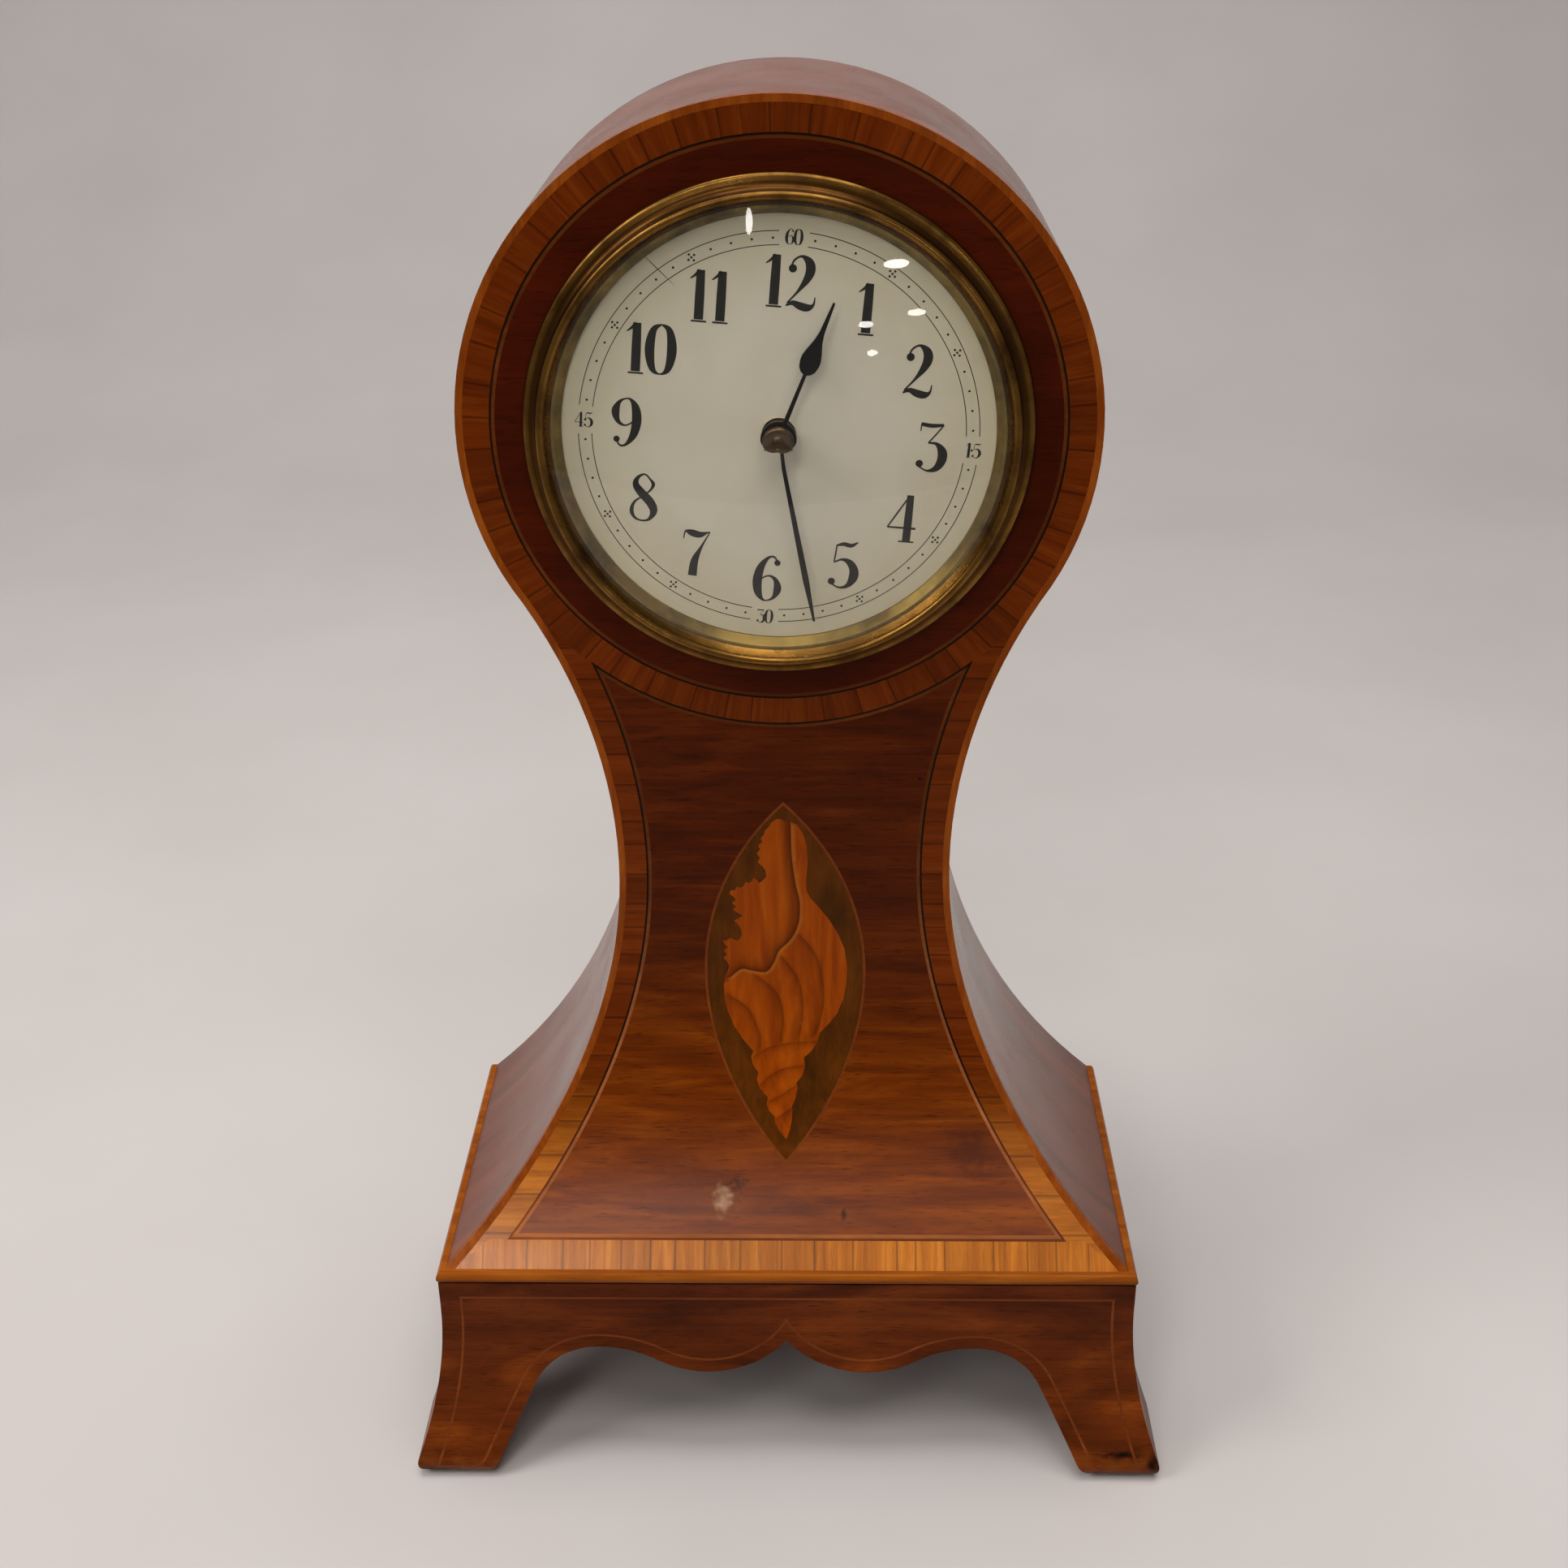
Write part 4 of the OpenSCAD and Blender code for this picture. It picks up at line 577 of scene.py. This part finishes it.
# The plinth: four mahogany aprons mitred and glued, with the grain along each board, a
# boxwood bead on top and a rail at the back. The toes are rubbed pale and bruised.
def worn_toes(tree, colour):
    height = height_on(tree)
    colour = faded(tree, colour, 0.044, 0.012, (1.6, 1.75, 1.1))
    place = add(tree, "ShaderNodeTexCoord").outputs["Object"]
    ragged = add(tree, "ShaderNodeTexNoise", {"Vector": place, "Scale": 260.0, "Detail": 4.0})
    rubbed = add(tree, "ShaderNodeMapRange", {"Value": height, 1: 0.0075, 2: 0.0005, 3: 0.0, 4: 0.6})
    patches = add(tree, "ShaderNodeMapRange", {"Value": ragged, 1: 0.42, 2: 0.6})
    # The last 2 mm of the toes above the floor are made darker
    darker_at_floor = add(tree, "ShaderNodeMapRange", {"Value": height, 1: 0.0022, 2: 0.0, 3: 0.0, 4: 0.75})
    return marked(tree, marked(tree, colour, rubbed, patches, "8C5020"), darker_at_floor, 1.0, "1C0A04")


# Where the toes of the front board are bruised: x, z, half width and half height
toe_bruises = ((0.0690, 0.0064, 0.0080, 0.0018), (0.0755, 0.0044, 0.0026, 0.0036),
               (-0.0735, 0.0016, 0.0060, 0.0014))
for name, along, bruises, boards in (
        ("mahogany_apron", 0, toe_bruises, ("front_apron", "rear_rail")),
        ("mahogany_side_apron", 1, (), ("left_apron", "right_apron"))):
    apron_mahogany, tree, shader, colour = polished_wood(
        name, "3E1504", "5A2308", "7C380E", along, streak=0.0013, cloud=(0.04, 0.012), contrast=(0.82, 1.16))
    colour = worn_toes(tree, colour)
    for x, z, wide, high in bruises:
        colour = marked(tree, colour, spot(tree, x, z, wide, high, 0.002), 1.0, "0E0502")
    feed(shader, {"Base Color": colour})
    dress(apron_mahogany, *boards)
bead, tree, shader, colour = polished_wood("boxwood_bead", "843E06", "9A4E0A", "B06214", 0, streak=0.0012,
                                           run=0.04, cloud=(0.03, 0.003), pores=0.15, rough=(0.16, 0.28),
                                           shine=0.16)
# The bead's lower half and the quirk under it are darkened: painted shade where the bead turns away from the
# light
bead_underside_shade = add(tree, "ShaderNodeMapRange", {"Value": height_on(tree), 1: 0.0475, 2: 0.0462, 3: 0.0, 4: 0.7})
feed(shader, {"Base Color": marked(tree, colour, bead_underside_shade, 1.0, "2E1204")})
dress(bead, "base_bead")


# Brass of the drum, the ring and the door: spun and turned sheet, lacquered long ago;
# the lacquer has gone brown in patches and shows fine turning lines.
def turned_brass(name, bright, brown, rough, tarnish, lines=0.6, centre=(0.0, drum_z)):
    """Brass turned about the front-to-back axis through centre. lines is how deep the turning shows."""
    material, tree, shader, place = new_material(name)
    spots = add(tree, "ShaderNodeTexNoise", {"Vector": place, "Scale": 120.0, "Detail": 6.0,
                                             "Roughness": 0.62})
    patina = add(tree, "ShaderNodeMapRange", {"Value": spots, 1: 0.38, 2: 0.68, 3: 0.0, 4: tarnish})
    colour = marked(tree, linear(bright), patina, 1.0, brown)
    gloss = add(tree, "ShaderNodeMapRange", {"Value": spots, 1: 0.3, 2: 0.75, 3: rough, 4: rough + 0.22})
    # Turning lines are about 0.05 mm apart; they are drawn 0.25 mm apart to show
    grooves = add(tree, "ShaderNodeTexNoise", {"W": away_from(tree, *centre), "Scale": 4000.0, "Detail": 1.0},
                  noise_dimensions="1D")
    bump = add(tree, "ShaderNodeBump", {"Height": grooves, "Strength": lines, "Distance": 0.00002})
    feed(shader, {"Base Color": colour, "Metallic": 1.0, "Roughness": gloss, "Normal": bump})
    return material, tree, shader, colour


can_brass = turned_brass("spun_brass", "B8954E", "7E5E2C", 0.26, 0.4)[0]
dress(can_brass, "drum_case", "rear_ring")
door_brass = turned_brass("lacquered_brass_door", "C0A05C", "94743A", 0.2, 0.4, lines=0.9)[0]
dress(door_brass, "rear_door")
sight_brass = turned_brass("gilt_sight_ring", "92793E", "4A3A1C", 0.3, 0.9)[0]
dress(sight_brass, "sight_ring")


# The bezel: a turned brass ring with a rolled rim, a deep cove and a ridge spun over
# the edge of the glass. The cove has gone dark brown, the roll and ridge stay golden.
def turned_piece(name, section, material, steps=192):
    """Turns a closed section about the drum's axis. Its points are (radius, y) in mm, and y starts
    at the front of the case."""
    corners, faces, n = [], [], len(section)
    for i in range(steps):
        a = 2 * math.pi * i / steps
        corners += [(r * math.cos(a) / 1000, y / 1000 + front_y, drum_z + r * math.sin(a) / 1000)
                    for r, y in section]
        here, there = i * n, (i + 1) % steps * n
        faces += [(here + j, here + (j + 1) % n, there + (j + 1) % n, there + j) for j in range(n)]
    piece = plain_mesh(name, corners, faces, material, True)
    shape = bmesh.new()
    shape.from_mesh(piece.data)
    bmesh.ops.remove_doubles(shape, verts=shape.verts, dist=1e-7)
    bmesh.ops.recalc_face_normals(shape, faces=shape.faces)
    shape.to_mesh(piece.data)
    shape.free()
    return piece


def arc(centre, radius, start, end, steps=8):
    angles = [math.radians(start + (end - start) * i / steps) for i in range(steps + 1)]
    return [(centre[0] + radius * math.cos(a), centre[1] + radius * math.sin(a)) for a in angles]


bezel_section = ([(39.15, 0.0), (39.15, -2.38), (40.62, -2.4), (40.45, -3.6)]
                 + arc((40.9, -4.0), 0.78, 190, 350, 10)
                 + [(41.62, -3.4)] + arc((43.0, -3.6), 1.5, 175, 95, 10)
                 + arc((43.25, -1.0), 0.93, 270, 420, 12) + [(43.2, 0.0)])
bezel_brass, tree, shader, colour = turned_brass("bezel_brass", "7C5826", "2A170A", 0.2, 0.85)
across = add(tree, "ShaderNodeMapRange", {"Value": away_from(tree, 0.0, drum_z), 1: 0.0400, 2: 0.0445})
hollow = add(tree, "ShaderNodeValToRGB", {"Fac": across})
first, last = hollow.color_ramp.elements
first.position, first.color = 0.30, (0, 0, 0, 1)
last.position, last.color = 0.75, (0, 0, 0, 1)
for position, grey in ((0.42, 0.85), (0.62, 0.75)):
    hollow.color_ramp.elements.new(position).color = (grey, grey, grey, 1)
feed(shader, {"Base Color": marked(tree, colour, hollow, 1.0, "341C0A")})
bezel = turned_piece("bezel_ring", bezel_section, bezel_brass)
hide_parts("bezel")
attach(bezel, "case")


# The glass: a shallow dome cut from blown crown glass, clear, with a very slight warm
# tint. Shadow rays pass it, so that the dial under it is lit as it is in the open.
glass, tree, shader, place = new_material("clear_crown_glass")
feed(shader, {"Base Color": linear("FBFBF6"), "Roughness": 0.015, "IOR": 1.5, "Transmission Weight": 1.0})
# The mirror image of the pale studio would veil the dial, so it is held to half
feed(shader, {"Specular Tint": (0.5, 0.5, 0.5, 1.0)})
clear = add(tree, "ShaderNodeBsdfTransparent", {"Color": linear("FBFBF6")})
shadow_ray = add(tree, "ShaderNodeLightPath").outputs["Is Shadow Ray"]
through = add(tree, "ShaderNodeMixShader", {0: shadow_ray, 1: shader, 2: clear})
feed(tree.nodes["Material Output"], {"Surface": through})
dress(glass, "glass")


# The dial: copper, coated with cream vitreous enamel and fired, glassy but very slightly
# uneven, a little yellower towards its edge.
enamel, tree, shader, place = new_material("cream_vitreous_enamel")
edge = add(tree, "ShaderNodeMapRange", {"Value": away_from(tree, 0.0, drum_z), 1: 0.020, 2: 0.038})
cream = marked(tree, linear("AFA9A0"), edge, 1.0, "A79F8B")
mottle = add(tree, "ShaderNodeTexNoise", {"Vector": place, "Scale": 90.0, "Detail": 5.0})
specks = add(tree, "ShaderNodeMapRange", {"Value": mottle, 1: 0.45, 2: 0.75, 3: 0.0, 4: 0.25})
bump = add(tree, "ShaderNodeBump", {"Height": mottle, "Strength": 0.08, "Distance": 0.0002})
feed(shader, {"Base Color": marked(tree, cream, specks, 1.0, "9B9281"), "Roughness": 0.22, "IOR": 1.52,
              "Normal": bump})
dress(enamel, "dial")


# The printing on the dial: upright numerals with hairlines and swelling strokes, two
# thin circles with the minutes between them, all in black ceramic ink fired on.
ink, tree, shader, place = new_material("fired_black_ink")
# The ink has a fine grain of about 1 mm, where it lies thinner
thin = add(tree, "ShaderNodeTexNoise", {"Vector": place, "Scale": 900.0, "Detail": 3.0})
tone = add(tree, "ShaderNodeMix", {0: thin, 6: linear("060504"), 7: linear("16120E")}, data_type="RGBA")
feed(shader, {"Base Color": tone, "Roughness": 0.45, "Specular IOR Level": 0.2})

# Each stroke is a line of (x, height, width), in parts of the numeral's height; a stroke
# of one point is a ball
figures = {
    "0": [[(.28, .97, .03), (.13, .86, .10), (.07, .5, .16), (.13, .14, .10), (.28, .03, .03),
          (.43, .14, .10), (.49, .5, .16), (.43, .86, .10), (.28, .97, .03)]],
    "1": [[(.22, .05, .15), (.22, .5, .15), (.22, .97, .13)], [(.03, .80, .02), (.12, .87, .05),
          (.2, .97, .05)], [(.08, .02, .035), (.37, .02, .035)]],
    "2": [[(.1, .72, .03), (.14, .88, .04), (.28, .97, .05), (.42, .88, .13), (.46, .73, .155),
          (.4, .55, .11), (.25, .32, .05), (.07, .1, .03)], [(.05, .05, .03), (.17, .11, .09),
          (.32, .06, .12), (.46, .04, .11), (.56, .1, .05), (.58, .24, .02)], [(.13, .74, .13)]],
    "3": [[(.07, .80, .02), (.08, .95, .03)], [(.07, .94, .07), (.28, .92, .08), (.5, .95, .05)],
          [(.5, .95, .03), (.38, .77, .03), (.24, .58, .03)], [(.24, .58, .03), (.4, .57, .07),
          (.52, .43, .15), (.53, .26, .155), (.44, .09, .10), (.27, .03, .04), (.11, .1, .03)],
          [(.11, .16, .12)]],
    "4": [[(.42, .03, .13), (.42, .5, .13), (.42, .97, .11)], [(.41, .97, .03), (.2, .6, .035),
          (.03, .3, .03)], [(.03, .3, .035), (.58, .3, .045)], [(.27, .02, .03), (.57, .02, .03)]],
    "5": [[(.14, .9, .03), (.28, .94, .08), (.43, .92, .08), (.56, 1.0, .02)], [(.15, .92, .03),
          (.12, .55, .03)], [(.12, .55, .03), (.27, .62, .05), (.42, .57, .1), (.52, .42, .15),
          (.52, .25, .155), (.42, .08, .09), (.26, .03, .04), (.1, .1, .03)], [(.1, .15, .12)]],
    "6": [[(.46, .84, .03), (.38, .95, .04), (.26, .92, .06), (.13, .72, .12), (.08, .45, .16),
          (.11, .2, .13), (.2, .05, .06), (.3, .03, .03), (.42, .1, .07), (.49, .28, .13),
          (.44, .47, .09), (.32, .55, .04), (.2, .51, .03), (.1, .4, .02)], [(.45, .83, .10)]],
    "7": [[(.05, .8, .02), (.08, .95, .04), (.2, .93, .11), (.36, .9, .1), (.5, .95, .04),
          (.56, .97, .02)], [(.56, .97, .02), (.41, .66, .05), (.29, .36, .12), (.26, .04, .15)]],
    "8": [[(.42, .86, .04), (.3, .97, .035), (.17, .9, .07), (.13, .76, .1), (.24, .6, .14),
          (.42, .42, .15), (.5, .24, .12), (.42, .07, .06), (.28, .03, .035), (.14, .08, .05),
          (.07, .22, .08), (.12, .4, .05), (.28, .53, .03), (.42, .66, .04), (.47, .78, .07),
          (.42, .86, .045)]]}
figures["9"] = [[(.56 - x, 1 - z, w) for x, z, w in stroke] for stroke in figures["6"]]
widths = dict(zip("0123456789", (.56, .44, .62, .6, .62, .6, .56, .58, .57, .56)))
overlap = 0.04                         # neighbouring figures stand this much closer than their widths
turned_by = math.radians(-5.0)         # the dial sits five degrees clockwise in its case
swell = 0.025                          # the full strokes are this much bolder than drawn
clear_of_enamel = 0.00003
print_corners, print_faces = [], []


def on_dial(x, z):
    """A place on the dial in mm from its centre, turned with the dial, just clear of the enamel."""
    c, s = math.cos(turned_by), math.sin(turned_by)
    return ((x * c - z * s) / 1000, front_y - clear_of_enamel, drum_z + (x * s + z * c) / 1000)


def print_stroke(points):
    start = len(print_corners)
    if len(points) == 1:
        x, z, w = points[0]
        ring = [(x + w / 2 * math.cos(math.radians(a)), z + w / 2 * math.sin(math.radians(a)))
                for a in range(0, 360, 30)]
        print_corners.extend(on_dial(*p) for p in ring)
        print_faces.append(tuple(range(start, start + len(ring))))
        return
    line = rounded(points) if len(points) > 2 else points
    for i, (x, z, w) in enumerate(line):
        a, b = line[max(i - 1, 0)], line[min(i + 1, len(line) - 1)]
        run = math.hypot(b[0] - a[0], b[1] - a[1])
        off = (-(b[1] - a[1]) / run * w / 2, (b[0] - a[0]) / run * w / 2)
        print_corners.extend((on_dial(x - off[0], z - off[1]), on_dial(x + off[0], z + off[1])))
    print_faces.extend((start + 2 * i, start + 2 * i + 2, start + 2 * i + 3, start + 2 * i + 1)
                       for i in range(len(line) - 1))


def print_number(number, ring, degrees, height):
    """Prints a number upright on the dial, at this radius in mm and this angle from three o'clock."""
    middle = (ring * math.cos(math.radians(degrees)), ring * math.sin(math.radians(degrees)))
    across = sum(widths[d] for d in number) - overlap * (len(number) - 1)
    x = middle[0] - across / 2 * height
    for digit in number:
        for stroke in figures[digit]:
            print_stroke([(x + p * height, middle[1] + (q - 0.5) * height, (w + swell * (w > 0.09)) * height)
                          for p, q, w in stroke])
        x += (widths[digit] - overlap) * height


hour_ring, hour_height = 26.3, 9.0
for hour in range(1, 13):
    print_number(str(hour), hour_ring, 90 - 30 * hour, hour_height)
quarter_ring, quarter_height = 33.6, 2.7
for minute in (60, 15, 30, 45):
    print_number(str(minute), quarter_ring, 90 - 6 * minute, quarter_height)
# Both circles of the track stop 4.2 degrees short of each number of the quarters
inner_circle, outer_circle, circle_line, stop_short, steps = 32.2, 34.5, 0.14, 4.2, 40
for radius in (inner_circle, outer_circle):
    for quarter in range(4):
        angles = [math.radians(90 * quarter + stop_short + i * (90 - 2 * stop_short) / steps)
                  for i in range(steps + 1)]
        print_stroke([(radius * math.cos(a), radius * math.sin(a), circle_line) for a in angles])
# A hairline crack in the enamel runs in from the edge between ten and eleven, black with age
print_stroke([(-25.0, 28.9, 0.05), (-22.2, 26.6, 0.14), (-19.2, 24.0, 0.03)])
dial_print = plain_mesh("dial_numerals", print_corners, print_faces, ink)
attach(dial_print, "case")


# The minutes: a dot for each one between the two circles, and a small four-dot flower
# at each five, printed with the numerals.
def ring_of_dots(name, count, first, step, radius, dot, material):
    """A flat mesh of dots on a ring, made by a small node tree. Sizes are in mm, angles in radians."""
    tree = bpy.data.node_groups.new(name, "GeometryNodeTree")
    for label, kind, value in (("Dots", "NodeSocketInt", count), ("First angle", "NodeSocketFloat", first),
                               ("Step", "NodeSocketFloat", step), ("Ring radius", "NodeSocketFloat", radius),
                               ("Dot radius", "NodeSocketFloat", dot)):
        tree.interface.new_socket(label, in_out="INPUT", socket_type=kind).default_value = value
    tree.interface.new_socket("Geometry", in_out="OUTPUT", socket_type="NodeSocketGeometry")
    given = add(tree, "NodeGroupInput").outputs
    points = add(tree, "GeometryNodePoints", {"Count": given["Dots"]})
    turn = add(tree, "ShaderNodeMath", {0: add(tree, "GeometryNodeInputIndex"), 1: given["Step"],
                                        2: given["First angle"]}, operation="MULTIPLY_ADD")
    places = []
    for operation in ("COSINE", "SINE"):
        share = add(tree, "ShaderNodeMath", {0: turn}, operation=operation)
        places.append(add(tree, "ShaderNodeMath", {0: share, 1: given["Ring radius"]}, operation="MULTIPLY"))
    place = add(tree, "ShaderNodeCombineXYZ", {"X": places[0], "Z": places[1]})
    spread = add(tree, "GeometryNodeSetPosition", {"Geometry": points, "Position": place})
    disc = add(tree, "GeometryNodeMeshCircle", {"Vertices": 10, "Radius": given["Dot radius"]},
               fill_type="NGON")
    upright = add(tree, "GeometryNodeTransform", {"Geometry": disc, "Rotation": (math.pi / 2, 0, 0)})
    dots = add(tree, "GeometryNodeInstanceOnPoints", {"Points": spread, "Instance": upright})
    real = add(tree, "GeometryNodeRealizeInstances", {"Geometry": dots})
    inked = add(tree, "GeometryNodeSetMaterial", {"Geometry": real, "Material": material})
    add(tree, "NodeGroupOutput", {0: inked})
    holder = plain_mesh("holder", [(0, 0, 0)], [], material)
    modifier = holder.modifiers.new("dots", "NODES")
    modifier.node_group = tree
    bpy.context.view_layer.update()
    made = bpy.data.meshes.new_from_object(holder.evaluated_get(bpy.context.evaluated_depsgraph_get()))
    bpy.data.objects.remove(holder)
    return made


def print_dots(name, dots, middles):
    """Prints a copy of these dots round each middle, in mm from the dial's centre."""
    corners, faces = [], []
    for across, high in middles:
        start = len(corners)
        corners += [on_dial(v.co.x + across, v.co.z + high) for v in dots.vertices]
        faces += [[start + i for i in p.vertices][::-1] for p in dots.polygons]
    piece = plain_mesh(name, corners, faces, ink)
    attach(piece, "case")


track, dot_radius, flower_radius = 33.35, 0.21, 0.62
minutes = ring_of_dots("minute_dots", 60, math.pi / 2, math.pi / 30, track, dot_radius, ink)
print_dots("minute_track_dots", minutes, [(0, 0)])
flower = ring_of_dots("five_minute_flower", 4, math.pi / 4, math.pi / 2, flower_radius, dot_radius, ink)
fives = [math.radians(30 * k) for k in range(12) if k % 3]
print_dots("five_minute_flowers", flower, [(track * math.cos(a), track * math.sin(a)) for a in fives])


# The hands: steel, sawn and filed, blued in the fire until nearly black, with the light
# catching their rounded edges.
blued, tree, shader, place = new_material("blued_steel")
heat = add(tree, "ShaderNodeTexNoise", {"Vector": place, "Scale": 300.0, "Detail": 4.0})
tone = add(tree, "ShaderNodeMix", {0: heat, 6: linear("0A0809"), 7: linear("1A1516")}, data_type="RGBA")
feed(shader, {"Base Color": tone, "Metallic": 0.9, "Roughness": 0.32})
dress(blued, "hour_hand", "minute_hand", "hairspring")


# The collet: a turned bronze button with a rounded edge and a shallow dish, in which the
# end of the centre arbor shows as a small raised dot; it holds both hands on.
collet_section = ([(0.0, -5.62), (0.42, -5.6), (0.62, -5.5), (0.72, -5.3), (0.95, -5.06), (1.7, -5.12)]
                  + arc((2.2, -4.72), 0.56, 255, 360, 8) + [(2.7, -4.11), (0.0, -4.11)])
bronze = turned_brass("patinated_bronze", "5E4A34", "241A12", 0.3, 0.9)[0]
collet = turned_piece("hand_collet", collet_section, bronze, steps=64)
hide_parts("hand_boss")
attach(collet, "hands")


# The movement: plates and wheels of cast and rolled brass, grained with a stone and
# lacquered; arbors, pinions, springs and screws of polished or blued steel.
plate_brass = turned_brass("stoned_plate_brass", "CBA660", "A07C42", 0.28, 0.25)[0]
dress(plate_brass, "front_plate", "back_plate", "pillars", "barrel", "barrel_cover", "second_wheel",
      "centre_wheel", "third_wheel", "fourth_wheel", "platform", "balance_wheel", "balance_cock",
      "escape_potence", "lever_bridge", "minute_wheel", "hour_wheel")
knob_low, knob_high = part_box("set_knob")
knob_middle = ((knob_low[0] + knob_high[0]) / 2, (knob_low[2] + knob_high[2]) / 2)
knob_brass = turned_brass("turned_knob_brass", "C8A55C", "7C5C2A", 0.22, 0.45, centre=knob_middle)[0]
dress(knob_brass, "set_knob")
steel, tree, shader, place = new_material("polished_steel")
wear = add(tree, "ShaderNodeTexNoise", {"Vector": place, "Scale": 220.0, "Detail": 5.0})
tone = add(tree, "ShaderNodeMix", {0: wear, 6: linear("6E6C6A"), 7: linear("A9A7A4")}, data_type="RGBA")
gloss = add(tree, "ShaderNodeMapRange", {"Value": wear, 1: 0.3, 2: 0.7, 3: 0.22, 4: 0.4})
feed(shader, {"Base Color": tone, "Metallic": 1.0, "Roughness": gloss})
dress(steel, "plinth_screws", "clamp_screws", "hinge_pin", "mainspring", "winding_arbor", "ratchet_wheel",
      "click", "click_spring", "escape_wheel", "pallet_lever", "regulator", "cannon_pinion")
